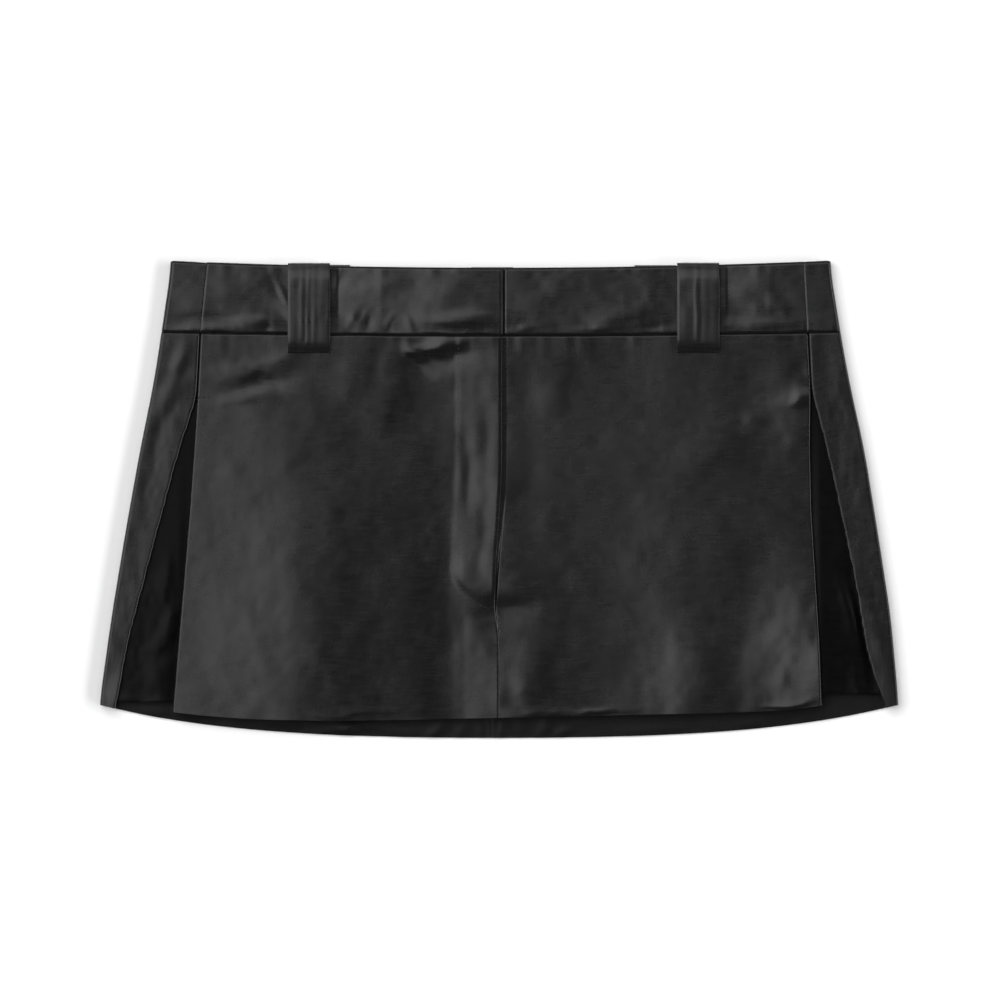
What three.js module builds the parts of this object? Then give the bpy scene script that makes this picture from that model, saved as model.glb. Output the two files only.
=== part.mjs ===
/**
 * A low-rise micro skort in black washed satin, laid flat with its front up.
 *
 * Millimetres. +X is the wearer's left, +Y points to the waist and +Z is up from the surface
 * that the back lies on. The origin is under the middle of the garment.
 *
 * Every piece is a wall of cloth. At each height up the body a line runs along the middle of
 * the cloth, and two skins stand off that line by half the cloth's thickness. "Out" is the
 * distance from the middle of the body on one side, so x is side * out.
 */
import * as THREE from 'three';

const { lerp, smoothstep, clamp, degToRad } = THREE.MathUtils;

// ---- Driving dimensions -------------------------------------------------------------------

// Outline of the flat garment.
const TOP_Y = 142.8;
const TOP_DIP = 4.2;
const WAIST_HALF = 197;
const HEM_Y = -142.8;
const HEM_HALF = 240;
const HEM_CORNER_RISE = { square: 9, fourth: 11 };

// Half width of the garment on each side, down the side folds.
const SIDES = [
  { y: 141, right: 196.7, left: 198.6 },
  { y: 98, right: 203, left: 205.4 },
  { y: 70, right: 207.3, left: 210.5 },
  { y: 30, right: 215.5, left: 219.4 },
  { y: -20, right: 224.4, left: 227.5 },
  { y: -70, right: 232.6, left: 235.2 },
  { y: -123, right: HEM_HALF, left: HEM_HALF },
];

// Lines across the body.
const BAND_SEAM_Y = 98.8;
const BAND_SEAM_RISE = 2;
const FRONT_HEM_Y = -130.8;
const FRONT_HEM_TILT = 0.022;
const FRONT_HEM_RISE = {
  right: { rise: 8, power: 4 },
  left: { rise: 4, power: 10 },
};
const BACK_TOP = { drop: 0.4, fadeFrom: 150, fadeTo: 190 };
const UNDERLAY_ABOVE_HEM = 6;
const SHORTS_HEM_Y = -92;
const CENTRE_BACK_X = -4;

// Cloth, and the middle height of each layer, from the back up.
const CLOTH = 1.2;
const UNDERLAY_CLOTH = 1;
const SHORTS_CLOTH = 1;
const BAND_CLOTH = 2.4;
const LAYER = {
  back: 0.6,
  shortsBack: 2,
  shortsFront: 3.3,
  underlay: 4.65,
  shield: 5.3,
  foldTop: 7.2,
  front: 7.75,
};
const BAND_LAYER = { back: 1.2, front: 7.2 };
const SEAM_GAP = 0.3;
const FOLD_REACH = 3.6;
const FOLD_STEPS = 6;
const TURN_RADIUS = 0.85;
const TURN_STEPS = 4;

// Side pleats. Each row gives the height and how far out the front panel and the side panel
// turn under. They meet in a seam above the pleat's head, the second row, and part below it.
const PLEATS = {
  right: [
    { y: 101, front: 179.2, side: 179.2 },
    { y: 61, front: 181.2, side: 181.2 },
    { y: 31, front: 183.2, side: 191.1 },
    { y: -10, front: 186.2, side: 202.4 },
    { y: -47, front: 189.3, side: 212.2 },
    { y: -84, front: 192.5, side: 222 },
    { y: -124, front: 195.8, side: 229.4 },
  ],
  left: [
    { y: 101, front: 185.4, side: 185.4 },
    { y: 64, front: 187.2, side: 187.2 },
    { y: 32, front: 186.8, side: 195.6 },
    { y: -8, front: 187.8, side: 204.6 },
    { y: -50, front: 190.4, side: 213.4 },
    { y: -86, front: 192.5, side: 219.2 },
    { y: -104, front: 193.2, side: 223.6 },
    { y: -122, front: 193.8, side: 231 },
  ],
};
const FRONT_TURN = { seam: 4, hem: 28 };
const SIDE_TURN = 2.5;
const UNDERLAY_REACH = { below: 3, head: 8, hem: 26, side: 6, fold: 6 };

// Fly. The right front laps over the left one down to the fly's foot.
const FLY = { topX: 0.4, footX: -3.2, bendY: 30, footY: -62, seamX: 0 };
const LAP = { width: 8, endY: -58, closedY: -68, flatY: -86, drop: 1, clear: 3, ramp: 4.8 };
const FLY_STRIP = { width: 27.5, footCentreY: -40, rise: 0.75, edge: 2.5 };
const SHIELD = { inner: -30, outer: 7, footY: -65, footSlope: 0.25, cloth: 1 };
const FLY_CROWD = { height: 0.8, footY: 62, fullY: 86, middleX: -11, flat: 19, fade: 35 };

// Belt loops, by the middle of each one.
const LOOP = {
  width: 25, cloth: 1.2, drop: 52, stand: 3,
  crown: 0.25, shoulder: 7, turnUnder: 6, overTop: 1.3,
};
const LOOP_SECTION = [
  { across: -1, rise: -0.1 },
  { across: -0.6, rise: 0.2 },
  { across: -0.25, rise: -0.1 },
  { across: 0.1, rise: 0.25 },
  { across: 0.4, rise: -0.1 },
  { across: 0.7, rise: 0.2 },
  { across: 1, rise: -0.1 },
];
const FRONT_LOOPS = { right: -114, left: 119.5 };
const BACK_LOOPS = { right: -102, centre: -4, left: 94 };
const LOOP_LIFT = { height: 1.5, flat: 14, fade: 26, footY: 88, endY: 68 };

// Waistband ends: side seams on the front, and the lap at the fly.
const BAND_SIDE_SEAM = {
  right: { top: 174.8, seam: 179.2 },
  left: { top: 183, seam: 185.4 },
};
const BAND_LAP = {
  tongue: 26, tongueCloth: 1.1, tongueZ: 6.9, stepFrom: 2.4, stepTo: 4,
  lappedCloth: 1.8, lappedZ: 8.7, rampFrom: 28, rampTo: 50,
};

// Shorts legs.
const CROTCH = { y: -48, footY: -62, parting: 14 };
const SHORTS_SIDE = { waist: 190, hem: 206 };

// Largest folds and hollows of the front panels: the middle, half length, half width, the
// turn from the X axis in degrees, and the rise of the cloth there.
const FRONT_FOLDS = [
  { x: -132, y: -80, long: 130, wide: 40, turn: 88, rise: 2 },
  { x: -84, y: -80, long: 130, wide: 46, turn: 90, rise: 1.6 },
  { x: -170, y: -90, long: 110, wide: 30, turn: 88, rise: 0.6 },
  { x: -36, y: -90, long: 100, wide: 17, turn: 91, rise: -0.8 },
  { x: 60, y: -70, long: 90, wide: 30, turn: 84, rise: -0.8 },
  { x: 196, y: -100, long: 60, wide: 34, turn: 78, rise: 2 },
  { x: -146, y: 40, long: 40, wide: 34, turn: 20, rise: 0.6 },
  { x: -37, y: 84, long: 19, wide: 5.5, turn: 4, rise: -1.1 },
  { x: -36, y: 94, long: 24, wide: 3.5, turn: 3, rise: 0.8 },
  { x: -150, y: 78, long: 20, wide: 4, turn: 8, rise: 0.6 },
  { x: -148, y: 69, long: 20, wide: 4, turn: 8, rise: -0.7 },
  { x: 162, y: -88, long: 40, wide: 10, turn: 73, rise: 0.8 },
  { x: 134, y: -90, long: 46, wide: 9, turn: 76, rise: -0.9 },
  { x: 106, y: -104, long: 34, wide: 12, turn: 74, rise: 0.8 },
  { x: 14, y: -112, long: 22, wide: 8, turn: 62, rise: 0.9 },
  { x: 160, y: 52, long: 34, wide: 9, turn: 20, rise: 0.5 },
];

// Stations of the walls: heights of the rows, and columns by their distance from the fly or
// from the centre back.
const FRONT_ROW_HEIGHTS = [
  98, 94, 90, 86, 81, 75, 69, 62, 52, 40, 25, 10, -8,
  -26, -40, -50, -58, -68, -77, -86, -98, -109, -120, -130,
];
const UNDERLAY_ROWS = 10;
const BACK_ROW_HEIGHTS = [98, 93, 88, 78, 68, 60, 30, 0, -35, -62, -86, -104, -122, -134];
const FLY_COLUMNS = {
  right: [0, 2, 12, 22, 25.5, 28.5, 32],
  left: [-LAP.width, 0.4, LAP.clear, LAP.ramp, 13],
};
const FRONT_COLUMNS = 16;
const SHORTS_ROW_HEIGHTS = [98, 88, 78, 68, 40, 5, -30, -48, -55, -62, -92];
const BAND_ROWS = 4;
const BAND_FLAT_HALF = 170;
const LOOP_COLUMNS = [-26, -20, -14, 0, 14, 20, 26];
const LEAST_COLUMN = 1.5;
const BACK_COLUMNS = [9, 14, 20, 26, 50, 72, 78, 84, 98, 112, 118, 124, 160];

const SATIN = { color: 0x242424, roughness: 0.5, metalness: 0 };
const BAND_SATIN = { color: 0x262626, roughness: 0.5, metalness: 0 };
const LOOP_SATIN = { color: 0x2c2c2c, roughness: 0.5, metalness: 0 };
const SHORTS_CREPE = { color: 0x1c1c1c, roughness: 0.75, metalness: 0 };

const SIGN = { right: -1, left: 1 };

// ---- Lines of the pattern -----------------------------------------------------------------

function topEdge(x) {
  return TOP_Y - TOP_DIP * (1 - (x / WAIST_HALF) ** 2);
}

function backTopEdge(x) {
  return topEdge(x) - BACK_TOP.drop * (1 - smoothstep(Math.abs(x), BACK_TOP.fadeFrom, BACK_TOP.fadeTo));
}

function bandSeam(x) {
  return BAND_SEAM_Y + BAND_SEAM_RISE * (x / WAIST_HALF) ** 2;
}

function backHem(x) {
  const out = x / HEM_HALF;
  return HEM_Y + HEM_CORNER_RISE.square * out ** 2 + HEM_CORNER_RISE.fourth * out ** 4;
}

function frontHem(x) {
  const { rise, power } = x < 0 ? FRONT_HEM_RISE.right : FRONT_HEM_RISE.left;
  return FRONT_HEM_Y + FRONT_HEM_TILT * x + rise * (x / WAIST_HALF) ** power;
}

function underlayHem(x) {
  return frontHem(clamp(x, -WAIST_HALF, WAIST_HALF)) + UNDERLAY_ABOVE_HEM;
}

// A column of a table at a height between its rows, which run from the top down.
function atHeight(rows, column, y) {
  const reached = rows.findIndex((row) => row.y <= y);
  const below = reached < 0 ? rows.length - 1 : Math.max(reached, 1);
  const from = rows[below - 1];
  const to = rows[below];
  return lerp(from[column], to[column], (from.y - y) / (from.y - to.y));
}

function halfWidth(hand, y) {
  return Math.min(HEM_HALF, atHeight(SIDES, hand, y));
}

// How far out the front and side panels turn under at a height.
function pleatEdges(hand, y) {
  return { front: atHeight(PLEATS[hand], 'front', y), side: atHeight(PLEATS[hand], 'side', y) };
}

function flyLine(y) {
  if (y > FLY.footY) return lerp(FLY.topX, FLY.footX, smoothstep(-y, -FLY.bendY, -FLY.footY));
  return lerp(FLY.footX, FLY.seamX, smoothstep(-y, -FLY.footY, -LAP.flatY));
}

// ---- Heights of the cloth -----------------------------------------------------------------

// The back is lifted over the straps of the back belt loops.
function loopLift(x, y) {
  let lift = 0;
  for (const middle of Object.values(BACK_LOOPS)) {
    lift = Math.max(lift, 1 - smoothstep(Math.abs(x - middle), LOOP_LIFT.flat, LOOP_LIFT.fade));
  }
  return LOOP_LIFT.height * lift * smoothstep(y, LOOP_LIFT.endY, LOOP_LIFT.footY);
}

function foldRelief(x, y) {
  let relief = 0;
  for (const fold of FRONT_FOLDS) {
    const turn = degToRad(fold.turn);
    const along = (x - fold.x) * Math.cos(turn) + (y - fold.y) * Math.sin(turn);
    const across = (y - fold.y) * Math.cos(turn) - (x - fold.x) * Math.sin(turn);
    relief += fold.rise * Math.exp(-((along / fold.long) ** 2) - (across / fold.wide) ** 2);
  }
  return relief;
}

// The stitched strip beside the fly stands up, and ends in a J at the fly's foot.
function flyStrip(x, y) {
  const inward = flyLine(y) - x;
  const down = Math.max(0, FLY_STRIP.footCentreY - y);
  const inside = FLY_STRIP.width - Math.hypot(inward, down);
  return FLY_STRIP.rise * smoothstep(inside, -FLY_STRIP.edge, FLY_STRIP.edge);
}

// The left front dips under the lap and comes level again below the fly's foot.
function lapDrop(x, y) {
  const closed = smoothstep(y, LAP.flatY, LAP.closedY);
  return LAP.drop * closed * (1 - smoothstep(x - flyLine(y), LAP.clear, LAP.ramp));
}

// The layers of the fly crowd each other just below the waistband.
function flyCrowd(x, y) {
  const beside = 1 - smoothstep(Math.abs(x - FLY_CROWD.middleX), FLY_CROWD.flat, FLY_CROWD.fade);
  return FLY_CROWD.height * beside * smoothstep(y, FLY_CROWD.footY, FLY_CROWD.fullY);
}

function frontHeight(hand, x, y) {
  const height = LAYER.front + foldRelief(x, y) + flyCrowd(x, y);
  return hand === 'right' ? height + flyStrip(x, y) : height - lapDrop(x, y);
}

// ---- Walls --------------------------------------------------------------------------------

// A closed solid between two skins, each a list of rows of [x, y, z] points.
function solidBetween(name, material, skins) {
  const rows = skins[0].length;
  const columns = skins[0][0].length;
  const index = [];
  const at = (skin, row, column) => (skin * rows + row) * columns + column;
  const quad = (a, b, c, d) => index.push(a, b, c, a, c, d);
  for (let row = 0; row < rows - 1; row++) {
    for (let column = 0; column < columns - 1; column++) {
      quad(at(0, row, column), at(0, row + 1, column), at(0, row + 1, column + 1), at(0, row, column + 1));
      quad(at(1, row, column), at(1, row, column + 1), at(1, row + 1, column + 1), at(1, row + 1, column));
    }
    quad(at(0, row, 0), at(1, row, 0), at(1, row + 1, 0), at(0, row + 1, 0));
    const last = columns - 1;
    quad(at(0, row, last), at(0, row + 1, last), at(1, row + 1, last), at(1, row, last));
  }
  for (let column = 0; column < columns - 1; column++) {
    quad(at(0, 0, column), at(0, 0, column + 1), at(1, 0, column + 1), at(1, 0, column));
    const last = rows - 1;
    quad(at(0, last, column), at(1, last, column), at(1, last, column + 1), at(0, last, column + 1));
  }
  const points = skins.flat(2);
  if (signedVolume(points, index) < 0) index.reverse();
  const geometry = new THREE.BufferGeometry();
  geometry.setAttribute('position', new THREE.Float32BufferAttribute(points.flat(), 3));
  geometry.setIndex(index);
  geometry.computeVertexNormals();
  const mesh = new THREE.Mesh(geometry, new THREE.MeshStandardMaterial(material));
  mesh.name = name;
  return mesh;
}

function signedVolume(points, index) {
  let volume = 0;
  for (let i = 0; i < index.length; i += 3) {
    const [a, b, c] = [0, 1, 2].map((corner) => new THREE.Vector3(...points[index[i + corner]]));
    volume += a.dot(b.cross(c)) / 6;
  }
  return volume;
}

// Unit normal of a line of [u, z] points at one of them, to the left of its direction.
function lineNormal(line, i) {
  const before = line[Math.max(i - 1, 0)];
  const after = line[Math.min(i + 1, line.length - 1)];
  const length = Math.hypot(after[0] - before[0], after[1] - before[1]);
  return [-(after[1] - before[1]) / length, (after[0] - before[0]) / length];
}

// A wall across the body. line(y) is the middle of the cloth at a height, as [x, z] points.
// The rows run from top(x), the upper edge, to bottom(x), by fractions of the way down.
function wallAcross(name, material, rows, line, top, bottom, cloth) {
  const columns = line(0).length;
  const skins = [[], []];
  for (const down of rows) {
    const pair = [[], []];
    for (let column = 0; column < columns; column++) {
      let y = lerp(top(0), bottom(0), down);
      for (let pass = 0; pass < 3; pass++) {
        const x = line(y)[column][0];
        y = lerp(top(x), bottom(x), down);
      }
      const points = line(y);
      const [x, z] = points[column];
      const [nx, nz] = lineNormal(points, column);
      const half = cloth(x, y) / 2;
      pair[0].push([x + nx * half, y, z + nz * half]);
      pair[1].push([x - nx * half, y, z - nz * half]);
    }
    skins[0].push(pair[0]);
    skins[1].push(pair[1]);
  }
  return solidBetween(name, material, skins);
}

function arc(centre, radius, from, to, steps) {
  const points = [];
  for (let i = 0; i <= steps; i++) {
    const angle = degToRad(lerp(from, to, i / steps));
    points.push([centre[0] + radius[0] * Math.cos(angle), centre[1] + radius[1] * Math.sin(angle)]);
  }
  return points;
}

function evenly(from, to, count) {
  return Array.from({ length: count }, (_, i) => lerp(from, to, i / (count - 1)));
}

function fractions(heights) {
  const [top, bottom] = [heights[0], heights[heights.length - 1]];
  return heights.map((y) => (top - y) / (top - bottom));
}

const bodyTop = (x) => bandSeam(x) - SEAM_GAP / 2;
const same = (thickness) => () => thickness;
const mirrored = (hand, line) => line.map(([out, z]) => [SIGN[hand] * out, z]);

// ---- Body pieces --------------------------------------------------------------------------

// The front panel runs from the fly to the pleat, turns under there and comes back below
// itself, further towards the hem.
function frontPanel(hand) {
  const sign = SIGN[hand];
  const line = (y) => {
    const fly = sign * flyLine(y);
    const overlap = 1 - smoothstep(-y, -LAP.endY, -LAP.closedY);
    const butt = SEAM_GAP / 2 * (1 - overlap);
    const near = FLY_COLUMNS[hand].map((out) => fly + butt + (out < 0 ? out * overlap : out));
    const turn = pleatEdges(hand, y).front - SEAM_GAP / 2 - CLOTH / 2 - TURN_RADIUS;
    const across = evenly(near[near.length - 1], turn, FRONT_COLUMNS).slice(1);
    const flat = [...near, ...across].map((out) => [out, frontHeight(hand, sign * out, y)]);
    const height = frontHeight(hand, sign * turn, y);
    const hairpin = turnUnder(turn, height - TURN_RADIUS, -90);
    const depth = lerp(FRONT_TURN.seam, FRONT_TURN.hem, pleatOpening(hand, y));
    const under = [0.5, 1].map((part) => {
      const out = turn - depth * part;
      return [out, frontHeight(hand, sign * out, y) - 2 * TURN_RADIUS];
    });
    return mirrored(hand, [...flat, ...hairpin, ...under]);
  };
  const rows = fractions(FRONT_ROW_HEIGHTS);
  return wallAcross(`front_${hand}`, SATIN, rows, line, bodyTop, frontHem, same(CLOTH));
}

// How far the pleat has opened at a height, from 0 at its head to 1 at the hem.
function pleatOpening(hand, y) {
  const head = PLEATS[hand][1].y;
  return clamp((head - y) / (head - FRONT_HEM_Y), 0, 1);
}

// The hairpin of a turned-under edge, without the point where it starts at 90 degrees.
function turnUnder(out, z, toAngle) {
  return arc([out, z], [TURN_RADIUS, TURN_RADIUS], 90, toAngle, TURN_STEPS).slice(1);
}

// Half of a piece that wraps round a side: the fold, then the front as far as an edge.
function roundTheSide(fold, layers, edge, columns) {
  const [low, high, atEdge] = layers;
  const middle = [fold - FOLD_REACH, (low + high) / 2];
  const bend = arc(middle, [FOLD_REACH, (high - low) / 2], -90, 90, FOLD_STEPS);
  const front = evenly(0, 1, columns).slice(1).map((part) => {
    return [lerp(middle[0], edge, part), lerp(high, atEdge, part)];
  });
  return [...bend, ...front];
}

// The back panel runs from the centre-back seam round the side fold to the pleat, where its
// edge turns under.
function backPanel(hand) {
  const sign = SIGN[hand];
  const line = (y) => {
    const fold = halfWidth(hand, y) - CLOTH / 2;
    const start = sign * CENTRE_BACK_X + SEAM_GAP / 2;
    const last = BACK_COLUMNS[BACK_COLUMNS.length - 1];
    const outer = evenly(last, fold - FOLD_REACH - start, 5).slice(1, -1);
    const flat = [0, ...BACK_COLUMNS, ...outer].map((out) => {
      return [start + out, LAYER.back + loopLift(sign * (start + out), y)];
    });
    const turn = pleatEdges(hand, y).side + SEAM_GAP / 2 + CLOTH / 2 + TURN_RADIUS;
    const side = roundTheSide(fold, [LAYER.back, LAYER.foldTop, LAYER.front], turn, 3);
    const hairpin = turnUnder(turn, LAYER.front - TURN_RADIUS, 270);
    const under = [[turn + SIDE_TURN, LAYER.front - 2 * TURN_RADIUS]];
    return mirrored(hand, [...flat, ...side, ...hairpin, ...under]);
  };
  const rows = fractions(BACK_ROW_HEIGHTS);
  return wallAcross(`back_${hand}`, SATIN, rows, line, bodyTop, backHem, same(CLOTH));
}

// The cloth behind the open pleat.
function pleatUnderlay(hand) {
  const sign = SIGN[hand];
  const line = (y) => {
    const edges = pleatEdges(hand, y);
    const reach = lerp(UNDERLAY_REACH.head, UNDERLAY_REACH.hem, pleatOpening(hand, y));
    const outer = Math.min(edges.side + UNDERLAY_REACH.side, halfWidth(hand, y) - UNDERLAY_REACH.fold);
    return evenly(edges.front - reach, outer, 5).map((out) => [sign * out, LAYER.underlay]);
  };
  const [rows, top] = [evenly(0, 1, UNDERLAY_ROWS), same(PLEATS[hand][1].y - UNDERLAY_REACH.below)];
  return wallAcross(`pleat_underlay_${hand}`, SATIN, rows, line, top, underlayHem, same(UNDERLAY_CLOTH));
}

function flyShield() {
  const line = (y) => {
    const fly = flyLine(y);
    return evenly(fly + SHIELD.inner, fly + SHIELD.outer, 5).map((x) => [x, LAYER.shield + flyCrowd(x, y)]);
  };
  const foot = (x) => SHIELD.footY + SHIELD.footSlope * Math.abs(x);
  return wallAcross('fly_shield', SATIN, evenly(0, 1, 9), line, bodyTop, foot, same(SHIELD.cloth));
}

// One half of a leg of the built-in shorts, front or back.
function shortsHalf(face, hand) {
  const sign = SIGN[hand];
  const height = face === 'back' ? LAYER.shortsBack : LAYER.shortsFront;
  const line = (y) => {
    const inner = SEAM_GAP / 2 + CROTCH.parting * smoothstep(-y, -CROTCH.y, -CROTCH.footY);
    const down = (BAND_SEAM_Y - y) / (BAND_SEAM_Y - SHORTS_HEM_Y);
    const outer = lerp(SHORTS_SIDE.waist, SHORTS_SIDE.hem, down);
    const stations = BACK_COLUMNS.map((out, i) => {
      return Math.max(inner + LEAST_COLUMN * (i + 1), sign * CENTRE_BACK_X + out);
    });
    return [inner, ...stations, outer].map((out) => [sign * out, height + loopLift(sign * out, y)]);
  };
  const rows = fractions(SHORTS_ROW_HEIGHTS);
  const [hem, cloth] = [same(SHORTS_HEM_Y), same(SHORTS_CLOTH)];
  return wallAcross(`shorts_${face}_${hand}`, SHORTS_CREPE, rows, line, bodyTop, hem, cloth);
}

// ---- Waistband ----------------------------------------------------------------------------

const bandBottom = (x) => bandSeam(x) + SEAM_GAP / 2;

function bandSideSeam(hand, y) {
  const down = (TOP_Y - y) / (TOP_Y - BAND_SEAM_Y);
  return lerp(BAND_SIDE_SEAM[hand].top, BAND_SIDE_SEAM[hand].seam, down);
}

// The right end of the front band laps over a thin tongue of the left one.
function frontBand(hand) {
  const sign = SIGN[hand];
  const lapped = (x) => 1 - smoothstep(FLY.topX - x, BAND_LAP.rampFrom, BAND_LAP.rampTo);
  const beyond = (x) => smoothstep(x - FLY.topX, BAND_LAP.stepFrom, BAND_LAP.stepTo);
  const shape = {
    right: {
      z: (x) => lerp(BAND_LAYER.front, BAND_LAP.lappedZ, lapped(x)),
      cloth: (x) => lerp(BAND_CLOTH, BAND_LAP.lappedCloth, lapped(x)),
      near: [0, BAND_LAP.rampFrom / 2, ...evenly(BAND_LAP.rampFrom, BAND_LAP.rampTo, 5)],
    },
    left: {
      z: (x) => lerp(BAND_LAP.tongueZ, BAND_LAYER.front, beyond(x)),
      cloth: (x) => lerp(BAND_LAP.tongueCloth, BAND_CLOTH, beyond(x)),
      near: [-BAND_LAP.tongue, -BAND_LAP.tongue / 2, ...evenly(BAND_LAP.stepFrom, BAND_LAP.stepTo, 4), 12],
    },
  }[hand];
  const line = (y) => {
    const near = shape.near.map((out) => sign * FLY.topX + out);
    const edge = bandSideSeam(hand, y) - SEAM_GAP / 2;
    const across = evenly(near[near.length - 1], edge, 8).slice(1);
    return [...near, ...across].map((out) => [sign * out, shape.z(sign * out)]);
  };
  const rows = evenly(0, 1, BAND_ROWS);
  return wallAcross(`waistband_front_${hand}`, BAND_SATIN, rows, line, topEdge, bandBottom, shape.cloth);
}

// The back band runs from one front side seam round the back to the other.
function backBand() {
  const around = (hand, y) => {
    const fold = halfWidth(hand, y) - BAND_CLOTH / 2;
    const edge = bandSideSeam(hand, y) + SEAM_GAP / 2;
    return mirrored(hand, roundTheSide(fold, [BAND_LAYER.back, BAND_LAYER.front, BAND_LAYER.front], edge, 3));
  };
  const line = (y) => {
    const atLoops = Object.values(BACK_LOOPS).flatMap((middle) => LOOP_COLUMNS.map((step) => middle + step));
    const across = [-BAND_FLAT_HALF, ...atLoops, BAND_FLAT_HALF];
    const flat = across.map((x) => [x, BAND_LAYER.back + loopLift(x, y)]);
    return [...around('right', y).reverse(), ...flat, ...around('left', y)];
  };
  const rows = evenly(0, 1, BAND_ROWS);
  return wallAcross('waistband_back', BAND_SATIN, rows, line, backTopEdge, bandBottom, same(BAND_CLOTH));
}

// ---- Belt loops ---------------------------------------------------------------------------

// A strap whose middle follows a line of [y, z] points. Its outer skin may have soft ridges.
function strap(name, middle, line, ridged) {
  const half = LOOP.cloth / 2;
  const skins = [[], []];
  for (let i = 0; i < line.length; i++) {
    const [y, z] = line[i];
    const [ny, nz] = lineNormal(line, i);
    const pair = [[], []];
    for (const { across, rise } of LOOP_SECTION) {
      const x = middle + across * LOOP.width / 2;
      const proud = half + (ridged ? rise : 0);
      pair[0].push([x, y + ny * proud, z + nz * proud]);
      pair[1].push([x, y - ny * half, z - nz * half]);
    }
    skins[0].push(pair[0]);
    skins[1].push(pair[1]);
  }
  return solidBetween(name, LOOP_SATIN, skins);
}

// The bend of a strap over the band's top edge, from one height to another.
function overTheEdge(top, fromZ, toZ) {
  return evenly(0, 90, 6).map((turn) => {
    const angle = degToRad(turn);
    return [top + LOOP.overTop * Math.sin(angle), lerp(toZ, fromZ, Math.cos(angle))];
  });
}

// A front loop: its foot is turned under on the panel, it stands off the band and folds over
// the band's top edge.
function frontLoop(hand) {
  const x = FRONT_LOOPS[hand];
  const sides = [x - LOOP.width / 2, x + LOOP.width / 2];
  const top = Math.max(...sides.map(topEdge));
  const half = LOOP.cloth / 2;
  const footY = top - LOOP.drop + half + TURN_RADIUS;
  const panel = Math.max(...sides.map((side) => frontHeight(hand, side, footY)));
  const footZ = panel + CLOTH / 2 + SEAM_GAP + half;
  const bandTop = BAND_LAYER.front + BAND_CLOTH / 2;
  const runZ = bandTop + LOOP.stand + half;
  const overZ = bandTop + SEAM_GAP + half;
  const line = [
    [footY + LOOP.turnUnder, footZ],
    ...arc([footY, footZ + TURN_RADIUS], [TURN_RADIUS, TURN_RADIUS], 270, 90, TURN_STEPS),
    [footY + LOOP.shoulder, runZ],
    [lerp(footY, top, 0.5), runZ + LOOP.crown],
    [top - LOOP.shoulder, runZ],
    [top - LOOP.shoulder / 3, lerp(overZ, runZ, 0.3)],
    ...overTheEdge(top, overZ, BAND_LAYER.front - half),
  ];
  return strap(`belt_loop_front_${hand}`, x, line, true);
}

// A back loop lies on the surface under the back band and folds over the band's top edge.
function backLoop(place) {
  const x = BACK_LOOPS[place];
  const top = Math.max(backTopEdge(x - LOOP.width / 2), backTopEdge(x + LOOP.width / 2));
  const foot = topEdge(x) - LOOP.drop;
  const half = LOOP.cloth / 2;
  const line = [
    [foot, half],
    [lerp(foot, top, 0.5), half],
    ...overTheEdge(top, half, LOOP_LIFT.height + BAND_CLOTH),
  ];
  return strap(`belt_loop_back_${place}`, x, line, false);
}

// ---- The garment --------------------------------------------------------------------------

const skort = new THREE.Group();
skort.name = 'skort';
for (const hand of ['right', 'left']) {
  skort.add(frontPanel(hand));
  skort.add(backPanel(hand));
  skort.add(pleatUnderlay(hand));
  skort.add(shortsHalf('front', hand));
  skort.add(shortsHalf('back', hand));
  skort.add(frontBand(hand));
  skort.add(frontLoop(hand));
}
skort.add(backBand());
skort.add(flyShield());
for (const place of Object.keys(BACK_LOOPS)) {
  skort.add(backLoop(place));
}

export default skort;
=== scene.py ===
"""A low-rise micro skort in black washed satin, laid flat with its front up.

Lengths are in millimetres, and MM turns them to metres. +X is the wearer's left, +Y points to
the waist and +Z is up. "right" and "left" are the wearer's. "Out" is the distance from the
middle of the body on one side, so x is side * out.

Each piece starts as a grid. Its rows run from the lower edge to the upper one and its columns
run across the cloth. The grid is laid on the middle of the cloth, a Solidify modifier gives
the cloth its thickness and a Bevel rounds the rim.
"""
import math

import bmesh
import bpy
import numpy as np
from mathutils import Matrix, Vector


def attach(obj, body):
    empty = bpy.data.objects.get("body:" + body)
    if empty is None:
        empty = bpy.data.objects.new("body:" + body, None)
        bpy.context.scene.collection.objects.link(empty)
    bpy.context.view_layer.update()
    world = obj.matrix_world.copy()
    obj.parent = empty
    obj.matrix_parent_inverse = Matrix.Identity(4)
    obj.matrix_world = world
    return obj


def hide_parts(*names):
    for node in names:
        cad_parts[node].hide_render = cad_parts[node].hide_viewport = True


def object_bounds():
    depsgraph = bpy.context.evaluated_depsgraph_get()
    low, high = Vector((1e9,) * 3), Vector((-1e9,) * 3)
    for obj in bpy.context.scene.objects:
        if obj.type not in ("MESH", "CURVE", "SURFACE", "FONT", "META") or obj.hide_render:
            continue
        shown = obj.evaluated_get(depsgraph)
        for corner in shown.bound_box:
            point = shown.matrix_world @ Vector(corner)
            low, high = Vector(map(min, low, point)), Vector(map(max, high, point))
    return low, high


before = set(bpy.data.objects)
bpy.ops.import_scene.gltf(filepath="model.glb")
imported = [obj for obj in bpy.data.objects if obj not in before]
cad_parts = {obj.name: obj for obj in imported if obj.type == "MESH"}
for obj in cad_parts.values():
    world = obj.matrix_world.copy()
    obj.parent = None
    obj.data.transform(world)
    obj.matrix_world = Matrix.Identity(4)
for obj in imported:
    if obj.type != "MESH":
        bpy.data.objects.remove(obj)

MM = 0.001
CAD_LOW, CAD_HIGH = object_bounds()

# ---- Sizes of the pattern, as the part's solids have them ---------------------------------

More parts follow.
